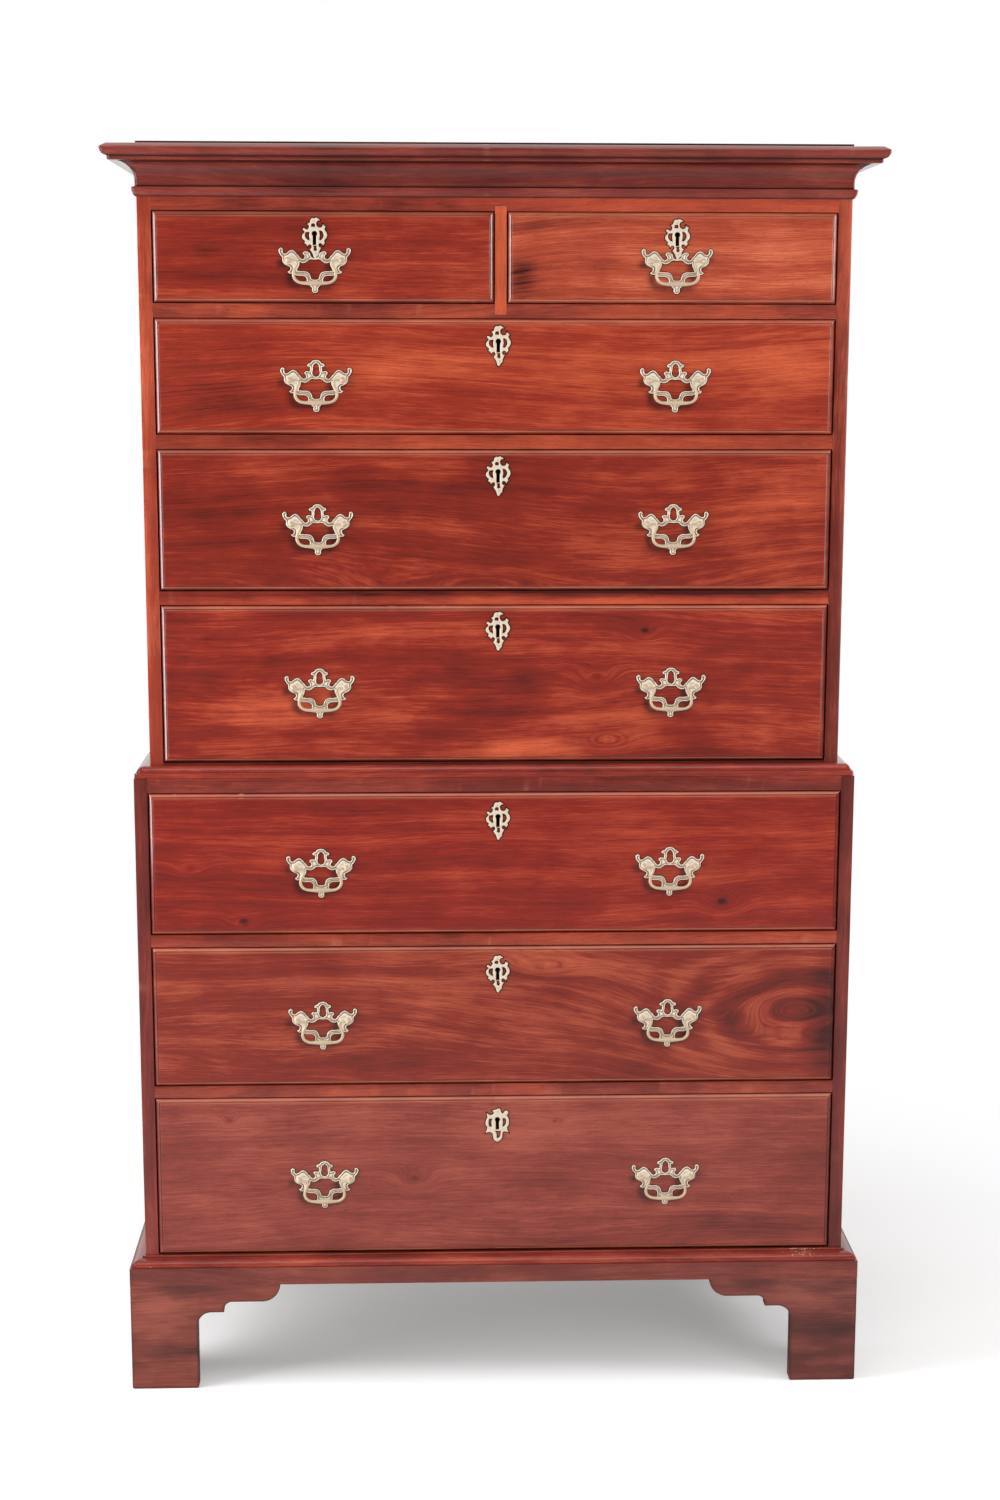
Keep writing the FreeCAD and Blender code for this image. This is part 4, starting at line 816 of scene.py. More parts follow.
def prepareHandlePlate(edge, holes):
    # the relief of a plate whose right half is given, with a flat boss under each post
    loops = [loopOf(curves, True) for curves in [edge] + holes]
    places, distance, faces = reliefGrid(loops, plateSizes["spacing"], plateSizes["skirt"])
    bosses = [(hand * plateSizes["postReach"], 0, plateSizes["bossRadius"]) for hand in (-1, 1)]
    return places, faces, castRelief(distance, places, plateSizes, plateVeins + mirrored(plateVeins), bosses)


def prepareKeyPlate(edge, holes, width):
    # the relief of a key plate, scaled to that width, and the scale
    outline = loopOf(edge)
    factor = width / (outline[:, 0].max() - outline[:, 0].min())
    loops = [outline * factor] + [loopOf(hole) * factor for hole in holes] + [keyholeLoop(keyPlateSizes)]
    places, distance, faces = reliefGrid(loops, keyPlateSizes["spacing"], keyPlateSizes["skirt"])
    return places, faces, castRelief(distance, places, keyPlateSizes), factor


def addRelief(name, prepared, middleX, middleZ, faceY, body, node):
    # a prepared relief in front of a face at faceY, with its flat back just inside the wood
    places, faces, (height, relief, waxAndShadow) = prepared[:3]
    front = np.stack([middleX + places[:, 0] * mm, faceY - height * mm, middleZ + places[:, 1] * mm], 1)
    base = front.copy()
    base[:, 1] = faceY + castSizes["sunk"] * mm
    attributes = {"relief": np.tile(relief, 2), "waxAndShadow": np.tile(waxAndShadow, 2)}
    addPiece(name, np.concatenate([front, base]), faces, brassLook, body, node, attributes, 80)


def turnedPiece(profile, middleX, middleZ, startY, count=28):
    # a profile of (radius, depth) in millimetres turned round an axis along Y
    profile = np.array(profile, float) * mm
    turn = np.linspace(0, 2 * math.pi, count, endpoint=False)
    points = np.empty((len(profile), count, 3))
    points[..., 0] = middleX + profile[:, :1] * np.cos(turn)
    points[..., 1] = startY + profile[:, 1:]
    points[..., 2] = middleZ + profile[:, :1] * np.sin(turn)
    points = points.reshape(-1, 3)
    return points, turnedOut(points, tubeFaces(len(profile), count))


postSizes = {"ball": 3.7, "ballTurns": (4, *range(14, 135, 12)), "neck": 2.6, "neckRun": (3.6, 5.2, 6.0), "flare": 0.5,
             "collar": 4.6, "bead": 1.5, "beadEdge": 1.0, "chamfer": 0.3, "sunk": 0.4, "backHole": 1.5,
             "faceToPivot": 2.0}
pinSizes = {"dome": [(0.15, -0.75), (0.7, -0.6), (1.15, -0.3), (1.3, 0.0), (1.3, 0.3)], "lift": 1.45, "count": 14}


def postProfile(pivot):
    # from the front: a ball, drawn by turns in degrees, a waisted neck and a beaded collar on the plate
    size = postSizes
    ball, neck, collar, flare, back = [size[key] for key in ("ball", "neck", "collar", "flare", "sunk")]
    neckStart, neckEnd, flareEnd = size["neckRun"]
    line = [(ball * math.sin(turn), -ball * math.cos(turn)) for turn in np.radians(size["ballTurns"])]
    line += [(neck, neckStart), (neck, neckEnd), (neck + flare, flareEnd), (collar - flare, pivot - size["bead"])]
    line += [(collar, pivot - size["beadEdge"]), (collar, pivot - back), (collar - size["chamfer"], pivot + back)]
    return line + [(size["backHole"], pivot + back)]


bailSizes = {
    "line": [(43.6, 0.0), (40.0, 0.0), (35.0, 0.1), (30.0, 0.2), (26.3, -0.6), (24.9, -3.6), (26.2, -8.2),
             (28.8, -14.0), (30.0, -20.0), (28.2, -26.2), (23.4, -30.2), (17.0, -31.7), (8.5, -31.9), (0.0, -31.9)],
    "rod": 1.8,
    "belly": 0.3,
    "bellyLevel": -22.0,
    "bellyHalf": 9.0,
    "grip": 1.75,
    "gripHalf": 12.0,
    "gripLevel": -25.0,
    "tip": 2.0,
    "tipLeast": 0.02,
    "pivotDrop": 2.2,
    "spacing": 1.0,
}


def bailLine():
    # the middle line of a bail in mm from one post to the other, seen from the front
    half = np.concatenate([curveThrough(bailSizes["line"], bailSizes["spacing"]), [bailSizes["line"][-1]]])
    return np.concatenate([half, half[-2::-1] * (-1, 1)])


def prepareBail(count=16):
    # A round rod along the line, square to it. It swells as a bell in the grip's middle and in the
    # bellies beside it, and closes in quarter circles at its tips.
    line = bailLine()
    run = np.concatenate([[0], np.cumsum(np.linalg.norm(np.diff(line, axis=0), axis=1))])
    toEnd = np.clip(np.minimum(run, run[-1] - run) / bailSizes["tip"], bailSizes["tipLeast"], 1)
    grip = bailSizes["grip"] * bell(line[:, 0], 0, bailSizes["gripHalf"]) * (line[:, 1] < bailSizes["gripLevel"])
    belly = bailSizes["belly"] * bell(line[:, 1], bailSizes["bellyLevel"], bailSizes["bellyHalf"])
    radius = ((bailSizes["rod"] + grip + belly) * np.sqrt(1 - (1 - toEnd) ** 2))[:, None]
    tangent = np.gradient(line, axis=0)
    tangent /= np.linalg.norm(tangent, axis=1)[:, None]
    turn = np.linspace(0, 2 * math.pi, count, endpoint=False)
    points = np.empty((len(line), count, 3))
    points[..., 0] = line[:, :1] + tangent[:, 1:] * radius * np.cos(turn)
    points[..., 2] = line[:, 1:] - tangent[:, :1] * radius * np.cos(turn)
    points[..., 1] = radius * np.sin(turn)
    points = points.reshape(-1, 3) * mm
    return points, turnedOut(points, tubeFaces(len(line), count))


# drawers
weldSize = 1e-6
cutReach = 1e-7  # a corner nearer the plane of a cut than this counts as on it
frontSizes = {"field": 4.5 * mm, "step": 1.2 * mm, "riser": 0.2 * mm, "thumb": 5.0 * mm, "flat": 1.2 * mm,
              "back": 2.0 * mm, "roundness": 1.22, "above": 1.2 * mm, "upperKey": 39 * mm, "lowerKey": 43 * mm,
              "keyHalf": 4.3 * mm, "keyDown": 10.2 * mm, "keyUp": 10.8 * mm,
              "edgeLines": (0, 0.12, 0.45, 0.95, 1.6, 2.4, 3.3, 4.2, 5.0, 5.6, 6.02, 6.14, 6.26, 6.45, 7.2),
              "margin": 10 * mm, "fine": 3.6 * mm, "clear": 1.2 * mm, "brassDepth": 2.5 * mm,
              "waves": ((0.10 * mm, 90 * mm, 0), (0.04 * mm, 30 * mm, 5)), "sunk": 0.1 * mm}
# each band of wear, of painted highlight and of painted shade: its place and its half width, measured from the edge or
# from the step to the field
wearSizes = {"outer": (1.2 * mm, 1.5 * mm), "rim": (0.15 * mm, 0.5 * mm), "lit": (0.3 * mm, 0.7 * mm),
             "thumb": (2.8 * mm, 1.6 * mm), "foot": (4.4 * mm, 1.3 * mm), "corner": (-0.5 * mm, 0.6 * mm),
             "brink": (0.0, 1.2 * mm), "chipLevel": 0.35, "rimLoss": 0.5 * mm, "rimLeast": 0.2,
             "outerLoss": 0.9 * mm, "chipShow": 1.4, "litShow": 0.55, "thumbShow": 0.5, "footShow": 0.6,
             "patchCell": 50 * mm, "patchy": 0.25, "shadeAndDirt": 0.30, "cornerShade": 0.55, "brinkShade": 0.45}
# sizes in millimetres of the painted shadow of a bail round its handle, partly wax
handleShadowSizes = {"left": 5.5, "down": 5.0, "reach": 6.2, "depth": 0.80, "earX": 46.0, "earZ": 3.0, "earReach": 10.0,
              "earDepth": 0.26, "cell": 6 * mm, "uneven": 0.15}


def handleShadowAndWax(placeX, placeZ, handles):
    # Painted shadow of each bail, partly the dark wax that polishing leaves round the handles: its depth times
    # exp(-(d/reach)^2), where d is the distance to the bail's line moved down and to the left, and a weaker round spot
    # beyond the right ear.
    size = handleShadowSizes
    line = bailLine()[::4] - (size["left"], size["down"])
    shadowAndWax = np.zeros_like(placeX)
    for middleX, middleZ in handles:
        across, up = (placeX - middleX) / mm, (placeZ - middleZ) / mm
        near = np.full_like(placeX, np.inf)
        for pointX, pointZ in line:
            near = np.minimum(near, np.hypot(across - pointX, up - pointZ))
        ear = np.hypot(across - size["earX"], up - size["earZ"])
        shadowAndWax = np.maximum(shadowAndWax, size["depth"] * bell(near, 0, size["reach"]))
        shadowAndWax = np.maximum(shadowAndWax, size["earDepth"] * bell(ear, 0, size["earReach"]))
    return shadowAndWax * (1 - size["uneven"] + size["uneven"] * softNoise(placeX, placeZ, size["cell"], 90))


def edgeLines(low, high, holeLow, holeHigh):
    # grid lines across a front: close together over the moulded edges, even between, and on the keyhole
    fromEdge = np.array(frontSizes["edgeLines"]) * mm
    count = max(4, int((high - low) / frontSizes["fine"]))
    inner = np.linspace(low + frontSizes["margin"], high - frontSizes["margin"], count)
    lines = np.concatenate([low + fromEdge, inner, high - fromEdge])
    toHole = np.minimum(np.abs(lines - holeLow), np.abs(lines - holeHigh))
    lines = np.sort(np.r_[lines[toHole > frontSizes["clear"]], holeLow, holeHigh])
    return lines, np.searchsorted(lines, (holeLow, holeHigh))


def frontFace(name, node, look, body, keyX, keyZ, handles, seed):
    # Depth behind the field as a function of the distance e to the nearest edge. Over the thumb
    # moulding of width t it is the step plus t(1 - (1 - (1 - e/t)^p)^(1/p)), which is a quarter round
    # for p = 2 and flatter below; then come a narrow flat and the step up to the field. Slow noise
    # makes the field a little wavy, and dents rub back the edges. A hole lies behind the keyhole. The
    # back is flat: four faces round the hole.
    size, worn = frontSizes, wearSizes
    low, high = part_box(node)
    lineX, (holeLeft, holeRight) = edgeLines(low.x, high.x, keyX - size["keyHalf"], keyX + size["keyHalf"])
    lineZ, (holeFoot, holeTop) = edgeLines(low.z, high.z, keyZ - size["keyDown"], keyZ + size["keyUp"])
    placeX, placeZ = np.meshgrid(lineX, lineZ, indexing="ij")
    gaps = np.stack([high.z - placeZ, placeZ - low.z, high.x - placeX, placeX - low.x])
    side = 3 - gaps.argmin(0)
    edge = gaps.min(0)
    run = np.where(side < 2, placeZ, placeX)
    rubbed = np.zeros_like(run)
    for number in range(4):
        rubbed = np.where(side == number, dents(run, seed * 20 + number * 3), rubbed)
    outward = 1 - np.clip(edge / size["thumb"], 0, 1)
    power = size["roundness"]
    behind = size["step"] + size["thumb"] * (1 - (1 - outward ** power) ** (1 / power))
    fromStep = edge - size["thumb"] - size["flat"]
    raised = smoothStep(fromStep / size["riser"] + 0.5)
    rimWear = bell(fromStep, *worn["rim"]) * (fromStep > 0)
    outerWear = bell(edge, *worn["outer"])
    chips = np.clip(rubbed - worn["chipLevel"], 0, 1)
    behind = behind * (1 - raised)
    behind += worn["rimLoss"] * rimWear * (worn["rimLeast"] + rubbed) * raised + worn["outerLoss"] * outerWear * chips
    wavy = sum(depth * softNoise(placeX, placeZ, cell, seed + more) for depth, cell, more in size["waves"])
    behind += (wavy + size["sunk"]) * raised
    points = np.stack([placeX, low.y + behind, placeZ], -1).reshape(-1, 3)
    backPoints = points.copy()
    backPoints[:, 1] = low.y + size["field"] + size["back"]
    rows, columns = placeX.shape
    count = rows * columns
    number = np.arange(count).reshape(rows, columns)
    kept = np.ones((rows - 1, columns - 1), bool)
    kept[holeLeft:holeRight, holeFoot:holeTop] = False
    faces = list(shellFaces(kept, number, count))
    for left, right, foot, head in ((0, holeLeft, 0, columns - 1), (holeRight, rows - 1, 0, columns - 1),
                                    (holeLeft, holeRight, 0, holeFoot), (holeLeft, holeRight, holeTop, columns - 1)):
        ring = np.concatenate([number[left:right, foot], number[right, foot:head], number[right:left:-1, head],
                               number[left, head:foot:-1]])
        faces.append(ring[::-1] + count)
    onFoot, onTop = side == 2, side == 3
    patchy = 1 - worn["patchy"] + worn["patchy"] * softNoise(run, 4.0, worn["patchCell"], seed + 70)
    # painted highlights: a pale line on the field's top edge and a pale top thumb where light falls from above, and a
    # pale bottom thumb for the reflection of the pale floor; the chips are real wear
    lit = bell(fromStep, *worn["lit"]) * (fromStep > -size["riser"])
    wear = chips * np.maximum(outerWear, rimWear) * worn["chipShow"]
    onThumb, underThumb = bell(edge, *worn["thumb"]), bell(edge, *worn["foot"])
    topHighlight = worn["litShow"] * lit + worn["thumbShow"] * onThumb
    wear += patchy * (onTop * topHighlight + onFoot * worn["footShow"] * underThumb)
    # painted shade: darker thumbs on the sides and bottom but not on the lit top, a dark crease at the step to the
    # field and a dark line at the outer edge, then the painted shadow of each bail
    corner, brink = bell(fromStep, *worn["corner"]), bell(edge, *worn["brink"])
    shadeAndDirt = np.where(onTop, 0.0, worn["shadeAndDirt"]) + worn["cornerShade"] * corner + worn["brinkShade"] * brink
    grimeAndShade = np.clip(shadeAndDirt * (1 - raised) - wear, 0, 1)
    grimeAndShade = np.maximum(grimeAndShade, handleShadowAndWax(placeX, placeZ, handles) * raised)
    attributes = {"wear": np.tile(np.clip(wear, 0, 1).ravel(), 2), "grimeAndShade": np.tile(grimeAndShade.ravel(), 2)}
    points, faces, attributes = dropUnused(np.concatenate([points, backPoints]), faces, attributes)
    addPiece(name, points, faces, look, body, node, attributes, 70)


def solidsOf(mesh):
    # The triangles of each solid in a frame mesh. They come solid by solid, and in a closed solid every
    # edge is met an even number of times: so an edge met an odd time opens, one met an even time closes,
    # and a solid ends at each triangle after which no edge is open.
    points = np.empty(len(mesh.vertices) * 3, np.float32)
    mesh.vertices.foreach_get("co", points)
    points = points.reshape(-1, 3).astype(float)
    corners = np.empty(len(mesh.loops), np.int32)
    mesh.loops.foreach_get("vertex_index", corners)
    grid = np.round(points / weldSize).astype(np.int64)
    firstPoint, spot = np.unique(grid, axis=0, return_index=True, return_inverse=True)[1:]
    spot = spot.ravel()
    triangles = spot[corners].reshape(-1, 3)
    ends = np.sort(np.stack([triangles, np.roll(triangles, -1, 1)], -1).reshape(-1, 2), 1)
    key = ends[:, 0] * (spot.max() + 1) + ends[:, 1]
    order = np.argsort(key, kind="stable")
    firstOfKey = np.r_[True, np.diff(key[order]) != 0]
    start = np.maximum.accumulate(np.where(firstOfKey, np.arange(len(key)), 0))
    met = np.empty(len(key), int)
    met[order] = np.arange(len(key)) - start
    opened = np.cumsum((1 - 2 * (met % 2)).reshape(-1, 3).sum(1))
    solids = []
    for part in np.split(triangles, np.flatnonzero(opened == 0) + 1):
        if len(part):
            used, number = np.unique(part, return_inverse=True)
            solids.append((points[firstPoint[used]], number.reshape(-1, 3)))
    return solids


def cutCopy(name, node, planeY, look, body):
    # the part of a frame node behind a plane across Y, with each of its solids closed at the cut
    mesh = bpy.data.meshes.new(name)
    whole = bmesh.new()
    for points, triangles in solidsOf(allNodes[node].data):
        if points[:, 1].max() <= planeY:
            continue
        mesh.clear_geometry()
        mesh.from_pydata(points.tolist(), [], triangles.tolist())
        work = bmesh.new()
        work.from_mesh(mesh)
        everything = work.verts[:] + work.edges[:] + work.faces[:]
        bmesh.ops.bisect_plane(work, geom=everything, dist=cutReach, plane_co=(0, planeY, 0), plane_no=(0, -1, 0),
                               clear_outer=True)
        rim = [edge for edge in work.edges if len(edge.link_faces) == 1]
        rim = [edge for edge in rim if all(abs(vert.co.y - planeY) < weldSize for vert in edge.verts)]
        if rim:
            bmesh.ops.triangle_fill(work, use_beauty=True, edges=rim, normal=(0, -1, 0))
        work.to_mesh(mesh)
        work.free()
        whole.from_mesh(mesh)
    mesh.clear_geometry()
    whole.to_mesh(mesh)
    whole.free()
    placePiece(name, mesh, look, body, node)


def makeDrawer(name, seed):
    # the front's face and what is behind it, the key plate with its pins, and each handle
    short, lower, eared = name.startswith("drawer_1"), name >= "drawer_5", name == "drawer_7"
    bailNodes = [name + "_bail" + tail for tail in ([""] if short else ["_left", "_right"])]
    frontNode, brasses = name + "_front", name + "_brasses"
    low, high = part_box(frontNode)
    boltLow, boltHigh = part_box(name + "_lock_bolt")
    keyX = (boltLow.x + boltHigh.x) / 2
    keyZ = high.z + frontSizes["above"] - frontSizes["lowerKey" if lower else "upperKey"]
    boxes = [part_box(node) for node in bailNodes]
    handles = [((first.x + last.x) / 2, last.z - bailSizes["pivotDrop"] * mm) for first, last in boxes]
    look = woodMaterial(name + "_mahogany", "X", (0.37 * seed, 0.0, 0.21 * seed), **drawerLooks[name])
    frontFace(frontNode + "_face", frontNode, look, name, keyX, keyZ, handles, seed)
    cutCopy(frontNode + "_core", frontNode, low.y + frontSizes["field"] + frontSizes["back"], plainMahogany, name)
    cutCopy(name + "_lock_and_nuts", brasses, low.y + frontSizes["brassDepth"], lockBrass, name)
    keyPlate, pins = (earedPlate, earedPins) if eared else (scrolledPlate, scrolledPins)
    addRelief(name + "_key_plate", keyPlate, keyX, keyZ, low.y, name, brasses)
    scale = keyPlate[3]
    for number, (across, up) in enumerate(pins):
        pinX, pinZ = keyX + across * scale * mm, keyZ + up * scale * mm
        points, faces = turnedPiece(pinSizes["dome"], pinX, pinZ, low.y - pinSizes["lift"] * mm, pinSizes["count"])
        addPiece("%s_key_plate_pin_%d" % (name, number + 1), points, faces, plainBrass, name, brasses)
    for bailNode, (first, last), (middleX, pivotZ) in zip(bailNodes, boxes, handles):
        pivotY = (first.y + last.y) / 2
        tag = bailNode.replace("bail", "handle")
        addRelief(tag + "_plate", trimmedPlate if short else handlePlate, middleX, pivotZ, low.y, name, brasses)
        profile = postProfile((low.y - pivotY) / mm - postSizes["faceToPivot"])
        for hand, side in ((-1, "left"), (1, "right")):
            points, faces = turnedPiece(profile, middleX + hand * plateSizes["postReach"] * mm, pivotZ, pivotY)
            addPiece(tag + "_post_" + side, points, faces, plainBrass, name, brasses)
        points, faces = bailMesh
        addPiece(tag + "_bail", points + (middleX, pivotY, pivotZ), faces, plainBrass, bailNode, bailNode)
    dressNode(name + "_box", oak)
    dressNode(name + "_lock_bolt", iron)


# looks
brassLook = brassMaterial("cast_brass_plate", waxAndShadowed=True)
plainBrass = brassMaterial("turned_brass", hollow=(206, 184, 154), body=(236, 220, 196))
lockBrass = brassMaterial("lock_brass", hollow=(46, 36, 24), body=(72, 58, 40), bright=(110, 92, 64), metal=0.9)
iron = ironMaterial("lock_iron")
plainMahogany = woodMaterial("mahogany_board", "X", (0.13, 0.4, 0.7), mid=(132, 40, 25))
darkMahogany = woodMaterial("mahogany_dark_board", "X", (0.53, 0.1, 0.2), dark=(46, 14, 10), mid=(86, 28, 20),
                            light=(130, 56, 38))
sideMahogany = woodMaterial("mahogany_case_side", "side", (0.5, 0.9, 0.2), mid=(138, 44, 28))
returnMahogany = woodMaterial("mahogany_return", "Y", (0.7, 0.2, 0.1), mid=(118, 38, 28), light=(170, 76, 54))
muntinLook = woodMaterial("mahogany_muntin", "Z", (0.23, 0.1, 0.3), dark=(120, 44, 26), mid=(206, 88, 52),
                          light=(240, 130, 86))
# a cloud is (along, across, half length, half width, strength) in metres from the middle of the floor
edgeSettings = {
    "upper_left": {"shift": (0.3, 0.7, 0.1), "dark": (100, 32, 20), "mid": (160, 58, 36), "light": (214, 104, 70),
                   "clouds": ((1.75, -0.5, 0.4, 0.2, 0.15), (1.86, -0.5, 0.04, 0.2, -1.0))},
    "upper_right": {"shift": (0.8, 0.2, 0.5), "dark": (60, 18, 14), "mid": (118, 40, 28), "light": (200, 90, 60),
                    "clouds": ((1.74, 0.5, 0.12, 0.2, 0.35), (1.86, 0.5, 0.04, 0.2, -1.0))},
    "lower_left": {"shift": (0.1, 0.4, 0.9), "dark": (60, 18, 16), "mid": (124, 44, 36), "light": (172, 74, 56)},
    "lower_right": {"shift": (0.6, 0.5, 0.3), "dark": (54, 16, 14), "mid": (110, 38, 32), "light": (160, 66, 50)},
}
railSettings = {
    "frieze_rail": {"shift": (0.2, 0.3, 0.8), "mid": (166, 62, 42), "clouds": (
        (0.26, 1.765, 0.22, 0.03, 0.26), (-0.30, 1.765, 0.20, 0.03, -0.12))},
    "rail_1": {"shift": (0.4, 0.1, 0.2), "mid": (140, 54, 40), "clouds": ((0.26, 1.622, 0.24, 0.03, 0.18),)},
    "rail_2": {"shift": (0.6, 0.8, 0.4), "mid": (152, 56, 36), "clouds": ((0.24, 1.435, 0.26, 0.03, 0.20),)},
    # rail_3's first cloud paints shadow along its top under drawer 3, its second a highlight along its bottom edge,
    # and its third paints shade along its top on the left
    "rail_3": {"shift": (0.9, 0.6, 0.7), "mid": (150, 48, 30), "warp": 0.0, "wave": 0.0, "clouds": (
        (0.24, 1.218, 0.34, 0.008, -0.80), (0.20, 1.201, 0.40, 0.006, 0.40), (-0.30, 1.213, 0.24, 0.010, -0.26))},
    "lower_top_rail": {"shift": (0.1, 0.5, 0.6), "mid": (124, 42, 32), "light": (180, 76, 54)},
    "rail_5": {"shift": (0.7, 0.9, 0.3), "mid": (160, 60, 40)},
    "rail_6": {"shift": (0.3, 0.2, 0.9), "mid": (144, 56, 42)},
}
edgeLooks = {name: woodMaterial(name + "_edge", "Z", **changes) for name, changes in edgeSettings.items()}
railLooks = {name: woodMaterial(name, "X", **changes) for name, changes in railSettings.items()}
corniceLook = woodMaterial("cornice_mahogany", "X", (0.15, 0.6, 0.2), dark=(66, 22, 18), mid=(134, 50, 40),
                           light=(184, 88, 66))
waistLook = woodMaterial("waist_mahogany", "X", (0.55, 0.1, 0.8), mid=(158, 50, 34))
# its chips paint pale glints on the ovolo at the right and at the left corner, partly chipped wood
baseLook = woodMaterial("base_mahogany", "X", (0.35, 0.7, 0.5), mid=(138, 46, 34), light=(192, 84, 60), chips=(
    (0.47, 0.206, 0.06, 0.012, 0.34), (-0.522, 0.1945, 0.004, 0.002, 0.42)))
plinthLook = woodMaterial("plinth_mahogany", "X", (0.75, 0.3, 0.4), dark=(72, 24, 20), mid=(122, 52, 42),
                          light=(164, 82, 64))
footGrain = {"bandDepth": 0.16, "fineDepth": 0.12, "fibreDepth": 0.22, "mottleDepth": 0.3, "poreDepth": 0.25,
             "blotch": 0.17}
footLooks = {
    "left": woodMaterial("left_foot_mahogany", "X", (0.45, 0.2, 0.6), dark=(58, 24, 20), mid=(126, 56, 44),
                         light=(184, 98, 78), **footGrain, clouds=(
                             (-0.49, 0.055, 0.09, 0.010, -0.15), (-0.52, 0.148, 0.06, 0.012, 0.10))),
    "right": woodMaterial("right_foot_mahogany", "X", (0.95, 0.8, 0.1), dark=(44, 22, 20), mid=(106, 48, 40),
                          light=(164, 86, 70), **footGrain, clouds=(
                              (0.50, 0.092, 0.06, 0.009, -0.20), (0.49, 0.145, 0.07, 0.016, 0.10))),
}
pineBoards = {"a": ((0.9, 0.1, 0.5), (166, 118, 82)), "b": ((0.3, 0.7, 0.2), (152, 106, 74)),
              "c": ((0.6, 0.4, 0.8), (174, 126, 90))}
pineLooks = [woodMaterial("pine_board_" + label, "X", shift, dark=(110, 74, 50), mid=mid, light=(198, 154, 116),
                          coat=0.0, roughness=0.7, worn=(200, 166, 132), poreDepth=0.1)
             for label, (shift, mid) in pineBoards.items()]
pine = pineLooks[0]
oak = woodMaterial("oak_drawer_lining", "Y", (0.2, 0.6, 0.9), dark=(98, 66, 44), mid=(150, 106, 74),
                   light=(184, 140, 104), coat=0.0, roughness=0.62, poreDepth=0.5)
